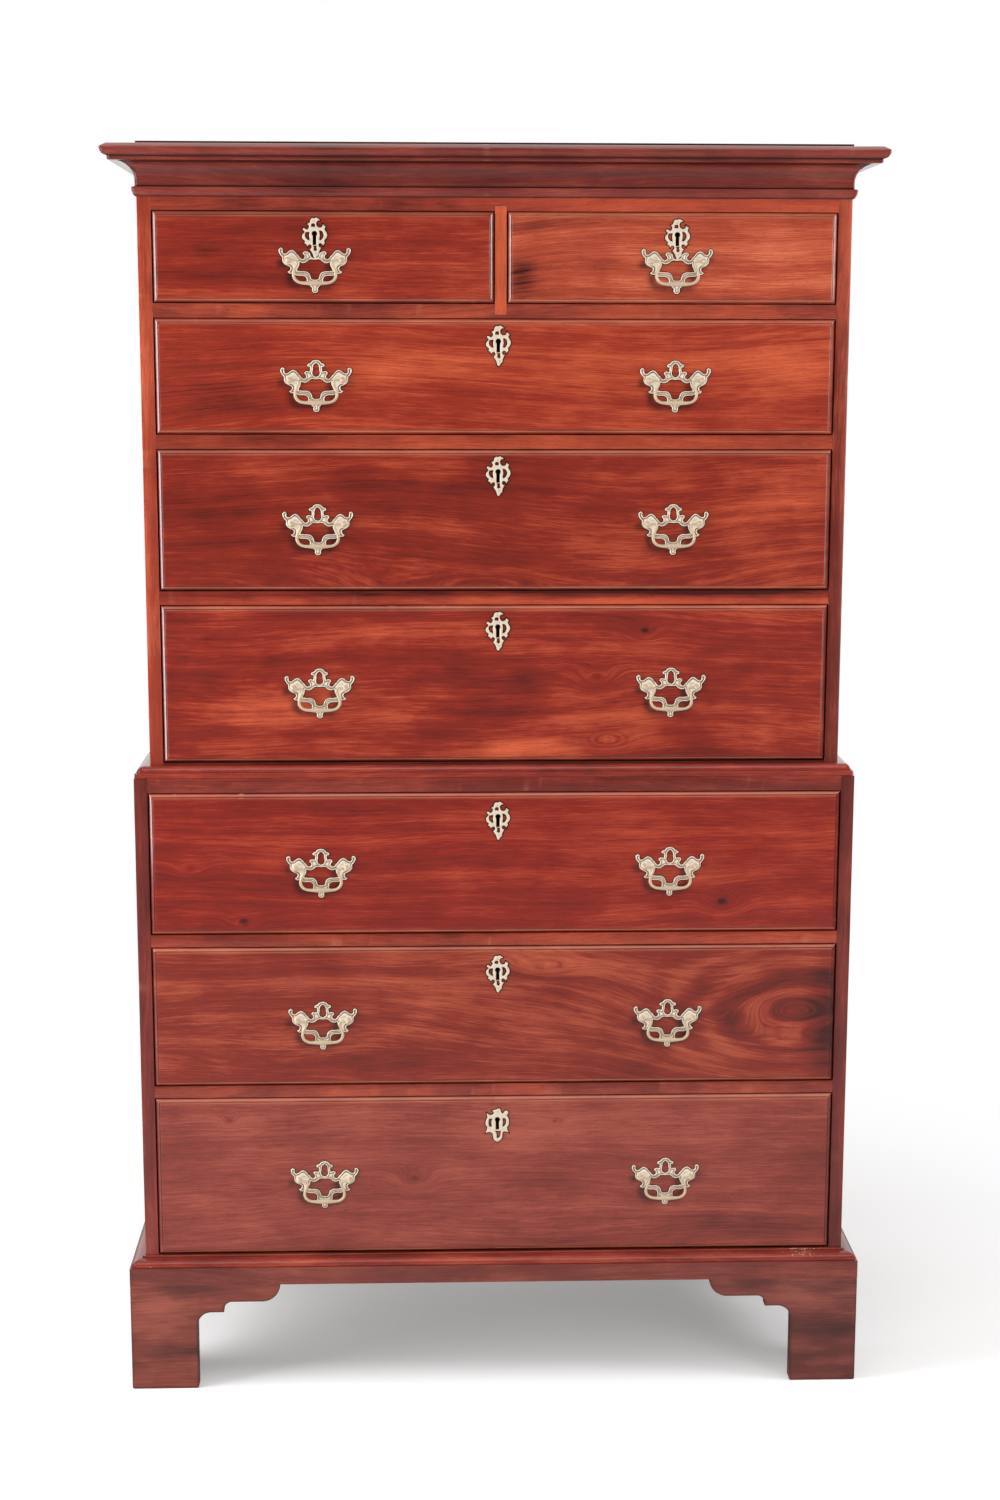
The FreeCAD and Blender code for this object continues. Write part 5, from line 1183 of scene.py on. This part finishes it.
# a knot is (along, across, size, stretch, darkness, hold on the lines, depth of its rings)
drawerLooks = {
    "drawer_1_left": {"mid": (146, 41, 24), "light": (214, 96, 60), "mottleDepth": 0.3, "clouds": (
        (-0.08, 1.652, 0.13, 0.035, 0.12), (-0.42, 1.70, 0.10, 0.05, -0.10), (-0.14, 1.69, 0.16, 0.02, -0.12),
        (-0.12, 1.735, 0.10, 0.015, 0.12), (-0.30, 1.652, 0.12, 0.02, 0.08))},
    "drawer_1_right": {"mid": (178, 72, 46), "light": (244, 138, 96), "mottleDepth": 0.26, "blotch": 0.05, "clouds": (
        (0.036, 1.660, 0.020, 0.030, -0.42), (0.05, 1.742, 0.05, 0.010, -0.20), (0.16, 1.66, 0.12, 0.02, 0.06),
        (0.43, 1.70, 0.09, 0.05, 0.12), (0.06, 1.72, 0.06, 0.03, 0.06))},
    "drawer_2": {"mid": (154, 46, 26), "light": (226, 106, 62), "mottleDepth": 0.26, "blotch": 0.06, "clouds": (
        (-0.10, 1.524, 0.12, 0.022, 0.12), (0.38, 1.530, 0.14, 0.05, 0.12), (0.09, 1.572, 0.16, 0.020, 0.03),
        (-0.44, 1.52, 0.10, 0.08, -0.22), (0.26, 1.470, 0.20, 0.020, 0.12))},
    "drawer_3": {"mid": (138, 37, 20), "light": (214, 94, 56), "mottleDepth": 0.30, "blotch": 0.08, "clouds": (
        (0.34, 1.33, 0.16, 0.08, 0.22), (-0.09, 1.35, 0.14, 0.03, -0.10), (-0.44, 1.32, 0.10, 0.10, -0.14),
        (-0.24, 1.25, 0.07, 0.03, -0.14), (0.12, 1.28, 0.08, 0.05, 0.02)),
                 "knots": ((0.0, 1.222, 0.045, 5.0, 0.0, 0.7, 0.05),)},
    "drawer_4": {"mid": (144, 37, 20), "light": (218, 98, 60), "mottleDepth": 0.32, "blotch": 0.10, "clouds": (
        (0.006, 1.071, 0.10, 0.05, -0.16), (0.036, 0.992, 0.06, 0.016, 0.32), (-0.26, 1.14, 0.12, 0.03, 0.12),
        (-0.45, 1.08, 0.07, 0.09, -0.14), (0.31, 1.15, 0.10, 0.03, -0.16), (0.18, 1.02, 0.12, 0.05, 0.16),
        (-0.30, 1.06, 0.12, 0.03, 0.08)), "knots": (
        (0.219, 1.159, 0.009, 1.4, 0.60, 0.5, 0.0), (0.149, 1.091, 0.012, 1.6, 0.28, 0.5, 0.0),
        (0.165, 0.997, 0.008, 2.2, -0.2, 0.4, 0.10))},
    "drawer_5": {"mid": (142, 32, 16), "light": (208, 86, 52), "mottleDepth": 0.26, "blotch": 0.06, "clouds": (
        (-0.28, 0.895, 0.22, 0.03, -0.12), (-0.46, 0.82, 0.06, 0.06, -0.10), (0.34, 0.81, 0.18, 0.04, 0.12),
        (0.12, 0.88, 0.10, 0.03, 0.06)), "knots": (
        (-0.374, 0.729, 0.010, 1.5, 0.60, 0.5, 0.0), (0.338, 0.755, 0.012, 1.5, 0.55, 0.5, 0.0),
        (-0.45, 0.81, 0.010, 2.0, 0.20, 0.6, 0.0))},
    "drawer_6": {"mid": (134, 38, 22), "light": (206, 100, 66), "mottleDepth": 0.26, "blotch": 0.06, "warp": 0.08,
                 "clouds": (
        (0.02, 0.655, 0.22, 0.016, 0.16), (0.50, 0.57, 0.03, 0.10, -0.40), (0.20, 0.65, 0.10, 0.03, 0.10),
        (0.0, 0.58, 0.14, 0.03, 0.16), (-0.28, 0.60, 0.16, 0.04, 0.08)), "knots": (
        (0.452, 0.585, 0.052, 1.9, 0.0, 0.30, 0.22), (0.08, 0.660, 0.014, 3.0, 0.0, 0.6, 0.06))},
    "drawer_7": {"mid": (142, 58, 46), "light": (196, 102, 80), "bandDepth": 0.22, "mottleDepth": 0.26, "blotch": 0.06,
                 "clouds": (
        (0.42, 0.240, 0.16, 0.020, -0.26), (-0.30, 0.34, 0.20, 0.06, 0.04), (0.14, 0.39, 0.14, 0.05, 0.16)), "knots": (
        (-0.123, 0.327, 0.012, 1.6, 0.30, 0.6, 0.0), (-0.40, 0.42, 0.006, 1.5, 0.25, 0.6, 0.0),
        (0.09, 0.415, 0.007, 1.5, 0.25, 0.6, 0.0))},
}

handlePlate = prepareHandlePlate(plateEdge, [plateWindow, plateLoopHole])
trimmedPlate = prepareHandlePlate([trimmedCup] + plateEdge[3:], [plateWindow])  # room for the key plate above
scrolledPlate = prepareKeyPlate(scrolledEdge, scrolledHoles, keyPlateSizes["scrolledWidth"])
earedPlate = prepareKeyPlate(earedEdge, earedHoles, keyPlateSizes["earedWidth"])
bailMesh = prepareBail()
print("brass shapes ready")

for seed, name in enumerate(drawerLooks):
    makeDrawer(name, seed)
print("drawers ready")

for case in ("upper_case", "lower_case"):
    dressNode(case + "_top_and_bottom", darkMahogany)
    dressNode(case + "_dustboards_and_stops", pine)


# front edges of the case sides and rails, and the back boards
caseSizes = {"strip": 4 * mm, "muntinUp": 7 * mm, "muntinDown": 15 * mm, "under": 1.0 * mm, "over": 0.7 * mm,
             "friezeUp": 20 * mm, "topBoard": 20 * mm}


def makeBackBoards(node, seed):
    # one rounded board for each solid of the node, in woods that differ a little from board to board
    for number, (points, triangles) in enumerate(solidsOf(allNodes[node].data)):
        softBoard(node + "_" + str(number + 1), points.min(0), points.max(0), 0, pineLooks[(seed + number * 2) % 3],
                  node, seed + number, 0.6)


def makeSides(case, half, inner, front, low, high, seed):
    # the boards of a case behind a plane, and a strip with a rounded edge before each
    node = case + "_case_sides"
    cut = front + caseSizes["strip"]
    cutCopy(node + "_core", node, cut, sideMahogany, "carcass")
    for hand, label in ((-1, "left"), (1, "right")):
        x0, x1 = sorted((hand * inner, hand * half))
        softBoard(node + "_edge_" + label, (x0, front, low), (x1, cut, high), 2, edgeLooks[case + "_" + label], node,
                  seed + hand, 1.0, (0, 0, 1, 1), False)


def openingOf(name):
    # the foot and the head of a drawer's opening
    low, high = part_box(name + "_front")
    return low.z - caseSizes["under"], high.z + caseSizes["over"]


def makeRails():
    # the rails behind a plane, and strips with rounded front edges before them
    upperNode, lowerNode = "upper_case_rails_and_muntin", "lower_case_rails"
    strip = caseSizes["strip"]
    cutCopy("upper_rails_core", upperNode, upperFront + strip, plainMahogany, "carcass")
    cutCopy("lower_rails_core", lowerNode, lowerFront + strip, plainMahogany, "carcass")

    def addStrip(name, node, x0, x1, z0, z1, look, seed):
        front = upperFront if node == upperNode else lowerFront
        softBoard(name, (x0, front, z0), (x1, front + strip, z1), 0, railLooks[look], node, seed, 1.0, (0, 1, 1, 0),
                  False)

    foot, head = [{number: openingOf("drawer_%d" % number)[end] for number in range(2, 8)} for end in (0, 1)]
    for number in (3, 2, 6, 5):
        node, inner, seed = (upperNode, upperInner, 8) if number < 5 else (lowerNode, lowerInner, 20)
        addStrip("rail_under_drawer_%d" % number, node, -inner, inner, head[number + 1], foot[number],
                 "rail_%d" % number, seed + number)
    addStrip("lower_case_top_rail", lowerNode, -lowerInner, lowerInner, head[5], lowerTop, "lower_top_rail", 31)
    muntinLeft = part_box("drawer_1_left_front")[1].x + sideGap
    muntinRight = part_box("drawer_1_right_front")[0].x - sideGap
    rowLow, rowHigh = openingOf("drawer_1_left")
    lapLow, lapHigh = rowLow - caseSizes["muntinDown"], rowHigh + caseSizes["muntinUp"]
    friezeHigh = corniceBox[0].z + caseSizes["friezeUp"]
    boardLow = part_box("upper_case_top_and_bottom")[1].z - caseSizes["topBoard"]
    for label, x0, x1 in (("left", -upperInner, muntinLeft), ("right", muntinRight, upperInner)):
        addStrip("rail_under_drawer_1_" + label, upperNode, x0, x1, head[2], rowLow, "rail_1", 41)
        addStrip("frieze_" + label, upperNode, x0, x1, rowHigh, friezeHigh, "frieze_rail", 43)
    addStrip("rail_under_muntin", upperNode, muntinLeft, muntinRight, head[2], lapLow, "rail_1", 41)
    addStrip("frieze_over_muntin", upperNode, muntinLeft, muntinRight, lapHigh, friezeHigh, "frieze_rail", 43)
    addStrip("frieze_behind_cornice", upperNode, -upperInner, upperInner, friezeHigh, boardLow, "frieze_rail", 45)
    softBoard("muntin_face", (muntinLeft, upperFront, lapLow), (muntinRight, upperFront + strip, lapHigh), 2,
              muntinLook, upperNode, 47, 1.2, (0, 0, 1, 1))


makeSides("upper", upperHalf, upperInner, upperFront, lowerTop, upperTop, 51)
makeSides("lower", lowerHalf, lowerInner, lowerFront, lowerBase, lowerTop, 61)
makeRails()
makeBackBoards("upper_case_back_boards", 71)
makeBackBoards("lower_case_back_boards", 81)
print("sides, rails and backs ready")


# cornice, waist moulding, base moulding and plinth
corniceSizes = {"projection": 45 * mm, "bead": 6.3 * mm, "beadHeight": 13.5 * mm, "neck": 1.8 * mm,
                "neckHeight": 9 * mm, "cove": 25.5 * mm, "coveHeight": 25.5 * mm, "fillet": 6.0 * mm,
                "crown": 9.5 * mm, "weathering": 5.5 * mm}
# each band of painted shade on the cornice: its height over the foot and its half width in mm, and its strength
corniceShade = ((0.5, 2.0, 0.7), (15.0, 1.6, 0.35), (35.0, 5.5, 0.28), (47.2, 1.3, 0.75), (54.2, 1.0, 0.4))
waistSizes = {"projection": 20.5 * mm, "fillet": 7.5 * mm, "shoulder": 17.5 * mm, "crown": 7 * mm}
baseSizes = {"projection": 19.5 * mm, "edge": 2 * mm, "fillet": 3 * mm, "crown": 4 * mm, "plinthDepth": 60 * mm}
fineSpacing = 0.5 * mm


def corniceSteps():
    # an ovolo bead, a plain neck, a deep cove, a fillet and a rounded top member
    size = corniceSizes
    low, high = corniceBox[0].z, corniceBox[1].z
    beadHigh = low + size["beadHeight"]
    coveLow = beadHigh + size["neckHeight"]
    coveHigh = coveLow + size["coveHeight"]
    filletReach = size["projection"] - size["crown"]
    filletHigh = coveHigh + size["fillet"]
    return [(0, low), (0, beadHigh, size["bead"], low - beadHigh, 90, 0), (size["neck"], beadHigh),
            (size["neck"], coveLow), (size["cove"], coveLow, size["neck"] - size["cove"], size["coveHeight"], 0, 90),
            (filletReach, coveHigh), (filletReach, filletHigh),
            (filletReach, filletHigh + size["crown"], size["crown"], -size["crown"], 90, 0),
            (size["projection"], high - size["weathering"]), (filletReach, high), (0, high)]


def waistSteps():
    # a fillet with an ovolo above it
    size = waistSizes
    low, high = waistBox[0].z, waistBox[1].z
    shoulderLow = low + size["fillet"]
    return [(0, low), (size["projection"], low), (size["projection"], shoulderLow), (size["shoulder"], shoulderLow),
            (size["crown"], shoulderLow, size["shoulder"] - size["crown"], high - shoulderLow, 0, 90), (0, high)]


def baseSteps():
    # an ovolo with a small fillet above it
    size = baseSizes
    low, high = lowerBase, plinthBox[1].z
    edgeHigh = low + size["edge"]
    ovoloHigh = high - size["fillet"]
    return [(0, low), (size["projection"], low), (size["projection"], edgeHigh),
            (size["crown"], edgeHigh, size["projection"] - size["crown"], ovoloHigh - edgeHigh, 0, 90),
            (size["crown"], high), (0, high)]


def plinthSteps():
    # a plain rectangle under the lower case
    reach = plinthHalf - lowerHalf
    inner = reach - baseSizes["plinthDepth"]
    return [(inner, plinthBox[0].z), (reach, plinthBox[0].z), (reach, lowerBase), (inner, lowerBase)]


corniceShadeBands = [(corniceBox[0].z + high * mm, width * mm, strength) for high, width, strength in corniceShade]
carryMoulding("cornice", corniceSteps(), upperHalf, upperFront, corniceLook, returnMahogany, "cornice", 71,
              shadeBands=corniceShadeBands)
carryMoulding("waist_moulding", waistSteps(), upperHalf, upperFront, waistLook, returnMahogany, "waist_moulding", 81,
              fineSpacing)
carryMoulding("base_moulding", baseSteps(), lowerHalf, lowerFront, baseLook, returnMahogany,
              "plinth_and_base_moulding", 91, fineSpacing)
carryMoulding("plinth", plinthSteps(), lowerHalf, lowerFront, plinthLook, returnMahogany,
              "plinth_and_base_moulding", 95, soften=1, rubDepth=0.0)
railInner = plinthHalf - baseSizes["plinthDepth"]
softBoard("plinth_back_rail", (-railInner, backY - baseSizes["plinthDepth"], plinthBox[0].z),
          (railInner, backY, lowerBase), 0, plainMahogany, "plinth_and_base_moulding", 97, 0.5)
print("mouldings ready")


# bracket feet
footSizes = {"length": 227 * mm, "thickness": 22 * mm, "leg": 101 * mm, "legCove": 21 * mm, "legDrop": 44 * mm,
             "wingDrop": 27.5 * mm, "riser": 3.5 * mm, "ledge": 19 * mm, "rear": 130 * mm, "block": 40 * mm,
             "blockLift": 3 * mm, "radius": 1.2 * mm, "spacing": 1.5 * mm, "corner": 3.2 * mm, "border": 2.4 * mm,
             "touch": 0.01 * mm, "soften": 4, "rub": 1.3, "rubDepth": 0.5 * mm, "wear": 1.2, "wearLevel": 0.15,
             "edgeDirt": 0.55, "backDirt": 0.3, "topDirt": 0.35, "evenDirt": 0.7, "rubDirt": 0.3}


def bracketOutline():
    # distance from the corner and level: a leg, a cove, a ledge, a riser, a small cove, a round end
    size, high = footSizes, plinthBox[0].z
    legFlat, wingFlat = high - size["legDrop"], high - size["wingDrop"]
    ledgeStart = size["leg"] + size["legCove"]
    ledgeEnd = ledgeStart + size["ledge"]
    wingCove = wingFlat - legFlat - size["riser"]
    wingStart = size["length"] - size["wingDrop"]
    corner, legCove, wingDrop = size["corner"], size["legCove"], size["wingDrop"]
    steps = [(corner, corner, -corner, -corner, 0, 90), (size["leg"] - corner, corner, corner, -corner, 90, 0),
             (ledgeStart, legFlat - legCove, -legCove, legCove, 0, 90),
             (ledgeEnd, legFlat), (ledgeEnd, legFlat + size["riser"]),
             (ledgeEnd + wingCove, wingFlat - wingCove, -wingCove, wingCove, 0, 90), (wingStart, wingFlat),
             (wingStart, high, wingDrop, -wingDrop, 90, 0), (0, high)]
    return profileLine(steps, size["spacing"], 1)


def makeBracket(name, place, mitred, look, seed):
    # Layers of the outline through the thickness. At a depth d of r(1 - cos t) the outline is drawn
    # in by r(1 - sin t), which rounds the edges; in a mitred bracket no point is nearer the corner
    # than its depth. One more layer inside the first keeps the dirt near the edges. The top edge
    # stays sharp under the plinth. place turns (distance from the corner, depth, level) into x, y, z.
    size, high = footSizes, plinthBox[0].z
    outline = bracketOutline()
    normal = profileBend(outline)[0]
    onTop = outline[:, 1] > high - size["touch"]
    normal[onTop, 1] = 0
    smooth = sum(np.roll(normal, offset, 0) for offset in range(-size["soften"], size["soften"] + 1))
    smooth /= np.linalg.norm(smooth, axis=1)[:, None] + tinyLength
    run = np.concatenate([[0], np.cumsum(np.linalg.norm(np.diff(outline, axis=0), axis=1))])
    rub = dents(run, seed, size["rub"])
    layers = [(0.0, size["radius"] + size["border"], 0.0, 0.0)]
    layers += [(size["radius"] * (1 - math.cos(turn)), size["radius"] * (1 - math.sin(turn)), math.sin(2 * turn),
                size["edgeDirt"]) for turn in np.radians([0, 22.5, 45, 67.5, 90])]
    layers += [(size["thickness"], 0.0, 0.0, size["backDirt"])]
    points, wear, grimeAndShade = [], [], []
    for number, (depth, inset, share, shadeAndDirt) in enumerate(layers):
        line = outline - (normal if number else smooth) * (inset + size["rubDepth"] * rub * share)[:, None]
        if number == 0:
            squeezed = inset + outline[:, 0] * (1 - 2 * inset / size["length"])
            line = np.where(onTop[:, None], np.stack([squeezed, outline[:, 1]], 1), line)
        along = np.maximum(line[:, 0], depth if mitred else 0)
        points.append(place(along, depth, np.clip(line[:, 1], 0, high)))
        wear.append(np.clip(rub * share * size["wear"] - size["wearLevel"], 0, 1))
        grimeAndShade.append(np.where(onTop, size["topDirt"] * shadeAndDirt, shadeAndDirt * (size["evenDirt"] + size["rubDirt"] * rub)))
    points = np.concatenate(points)
    faces = turnedOut(points, tubeFaces(len(layers), len(outline)))
    attributes = {"wear": np.concatenate(wear), "grimeAndShade": np.concatenate(grimeAndShade)}
    addPiece(name, points, faces, look, "carcass", "bracket_feet", attributes, 50)


def makeFeet():
    # on each side: a front, a side and a rear side bracket, a plain bracket at the back and two glue blocks
    thick, block, high = footSizes["thickness"], footSizes["block"], plinthBox[0].z
    for hand, side in ((-1, "left"), (1, "right")):
        corner = hand * plinthHalf
        inner = corner - hand * thick

        def onFront(along, depth, level):
            return np.stack([corner - hand * along, plinthFront + depth + 0 * along, level], 1)

        def onSide(along, depth, level):
            return np.stack([corner - hand * depth + 0 * along, plinthFront + along, level], 1)

        def onRear(along, depth, level):
            return np.stack([corner - hand * depth + 0 * along, backY - along, level], 1)

        makeBracket("front_bracket_" + side, onFront, True, footLooks[side], 101 + hand)
        makeBracket("side_bracket_" + side, onSide, True, returnMahogany, 111 + hand)
        makeBracket("rear_side_bracket_" + side, onRear, False, returnMahogany, 121 + hand)
        near = corner - hand * footSizes["leg"]
        far = inner - hand * (footSizes["rear"] - thick)
        outline = [(inner, 0), (near, 0), (far, high), (inner, high)]
        points = np.array([(x, y, z) for y in (backY - thick, backY) for x, z in outline])
        addPiece("rear_bracket_" + side, points, turnedOut(points, tubeFaces(2, 4)), plainMahogany, "carcass",
                 "bracket_feet", {"wear": np.zeros(8)})
        x0, x1 = sorted((inner, inner - hand * block))
        for label, y0 in (("front", plinthFront + thick), ("rear", backY - thick - block)):
            softBoard("glue_block_%s_%s" % (label, side), (x0, y0, footSizes["blockLift"]), (x1, y0 + block, high), 2,
                      pine, "bracket_feet", 131 + hand, 0.3)


makeFeet()
print("feet ready")


# floor, light and camera
stageSettings = {
    "floorHalf": 14.0,
    "floorColour": 0.90,
    "floorInGloss": 0.35,
    "floorLift": 0.22,
    "fadeRange": (0.62, 1.5),
    "ambient": 0.49,
    "glossyAmbient": 0.10,
    "glossyBehind": 1.0,
    "lamps": {
        "left_softbox": ((-2.6, -0.78, 1.35), (0, -0.25, 1.0), 1.5, 2.1, 84.0),
        "right_softbox": ((2.6, -0.80, 2.15), (0, -0.25, 1.2), 0.9, 1.0, 28.0),
        "front_softbox": ((2.3, -2.7, 1.3), (0, 0, 1.0), 1.2, 1.6, 22.0),
        "top_softbox": ((0.0, -1.3, 3.6), (0, 0, 0.9), 2.6, 1.6, 18.0),
    },
}
cameraSettings = {"place": (-0.1096, -3.577, 1.5613), "pitch": 9.84, "yaw": 1.99, "roll": 0.115,
                  "focalPixels": 2295.0, "imageHeight": 1500.0, "filmSide": 36.0}


def addWhite(tree, kind, strength):
    # a white emission or background of that strength
    return addNode(tree, kind, {"Color": (1, 1, 1, 1), "Strength": strength}).outputs[0]


def addMix(tree, factor, first, second):
    # first * (1 - factor) + second * factor, of two shaders
    return addNode(tree, "ShaderNodeMixShader", {0: factor, 1: first, 2: second}).outputs[0]


def makeFloor():
    # A pale floor that keeps the object's shadow, a little brighter to the camera and dimmer in gloss. It
    # fades to white with the distance from the object.
    half = stageSettings["floorHalf"]
    mesh = bpy.data.meshes.new("floor")
    mesh.from_pydata([(-half, -half, 0), (half, -half, 0), (half, half, 0), (-half, half, 0)], [], [(0, 1, 2, 3)])
    floor = bpy.data.objects.new("floor", mesh)
    bpy.context.scene.collection.objects.link(floor)
    material, tree = startMaterial("pale_floor")
    place = addNode(tree, "ShaderNodeTexCoord").outputs["Object"]
    far = addNode(tree, "ShaderNodeVectorMath", {0: place}, operation="LENGTH").outputs["Value"]
    rays = addNode(tree, "ShaderNodeLightPath")
    seen = rays.outputs["Is Camera Ray"]
    pale, dim = [(stageSettings[key],) * 3 + (1.0,) for key in ("floorColour", "floorInGloss")]
    colour = blendColour(tree, rays.outputs["Is Glossy Ray"], pale, dim)
    matt = addNode(tree, "ShaderNodeBsdfDiffuse", {"Color": colour}).outputs[0]
    glow = addWhite(tree, "ShaderNodeEmission", calc(tree, "MULTIPLY", seen, stageSettings["floorLift"]))
    matt = addNode(tree, "ShaderNodeAddShader", {0: matt, 1: glow}).outputs[0]
    share = calc(tree, "MULTIPLY", remap(tree, far, *stageSettings["fadeRange"], smooth=True), seen)
    mixed = addMix(tree, share, matt, addWhite(tree, "ShaderNodeEmission", 1.0))
    addNode(tree, "ShaderNodeOutputMaterial", {"Surface": mixed})
    mesh.materials.append(material)


def makeWorld():
    # white to the camera, an even soft light on the object, and in gloss dim in front and white behind
    world = bpy.data.worlds.new("studio")
    bpy.context.scene.world = world
    world.use_nodes = True
    tree = world.node_tree
    tree.nodes.clear()
    rays = addNode(tree, "ShaderNodeLightPath")
    way = addNode(tree, "ShaderNodeTexCoord").outputs["Generated"]
    ahead = addNode(tree, "ShaderNodeSeparateXYZ", {0: way}).outputs[1]
    sheen = remap(tree, ahead, 0.0, 0.5, stageSettings["glossyAmbient"], stageSettings["glossyBehind"], smooth=True)
    levels = (stageSettings["ambient"], sheen, 1.0)
    soft, dim, white = [addWhite(tree, "ShaderNodeBackground", level) for level in levels]
    lit = addMix(tree, rays.outputs["Is Glossy Ray"], soft, dim)
    addNode(tree, "ShaderNodeOutputWorld", {"Surface": addMix(tree, rays.outputs["Is Camera Ray"], lit, white)})


def addLamp(name, place, target, width, height, power):
    # a rectangular soft light at place that points at target
    lamp = bpy.data.lights.new(name, "AREA")
    lamp.shape = "RECTANGLE"
    lamp.size, lamp.size_y = width, height
    lamp.energy = power
    thing = bpy.data.objects.new(name, lamp)
    bpy.context.scene.collection.objects.link(thing)
    thing.location = place
    thing.rotation_euler = (Vector(target) - Vector(place)).to_track_quat("-Z", "Y").to_euler()


def makeCamera():
    # forward from yaw and pitch, right level, then both turned by the roll
    pitch, yaw, roll = [math.radians(cameraSettings[key]) for key in ("pitch", "yaw", "roll")]
    forward = Vector((math.sin(yaw) * math.cos(pitch), math.cos(yaw) * math.cos(pitch), -math.sin(pitch)))
    right = Vector((math.cos(yaw), -math.sin(yaw), 0))
    up = right.cross(forward)
    turnedRight = right * math.cos(roll) + up * math.sin(roll)
    turnedUp = up * math.cos(roll) - right * math.sin(roll)
    camera = bpy.data.cameras.new("camera")
    camera.sensor_width = cameraSettings["filmSide"]
    camera.lens = cameraSettings["filmSide"] * cameraSettings["focalPixels"] / cameraSettings["imageHeight"]
    thing = bpy.data.objects.new("camera", camera)
    bpy.context.scene.collection.objects.link(thing)
    rotation = Matrix((turnedRight, turnedUp, -forward)).transposed().to_4x4()
    thing.matrix_world = Matrix.Translation(cameraSettings["place"]) @ rotation
    bpy.context.scene.camera = thing


makeFloor()
makeWorld()
for name, (place, target, width, height, power) in stageSettings["lamps"].items():
    addLamp(name, place, target, width, height, power)
makeCamera()
bpy.context.scene.view_settings.view_transform = "Standard"
print("stage ready")
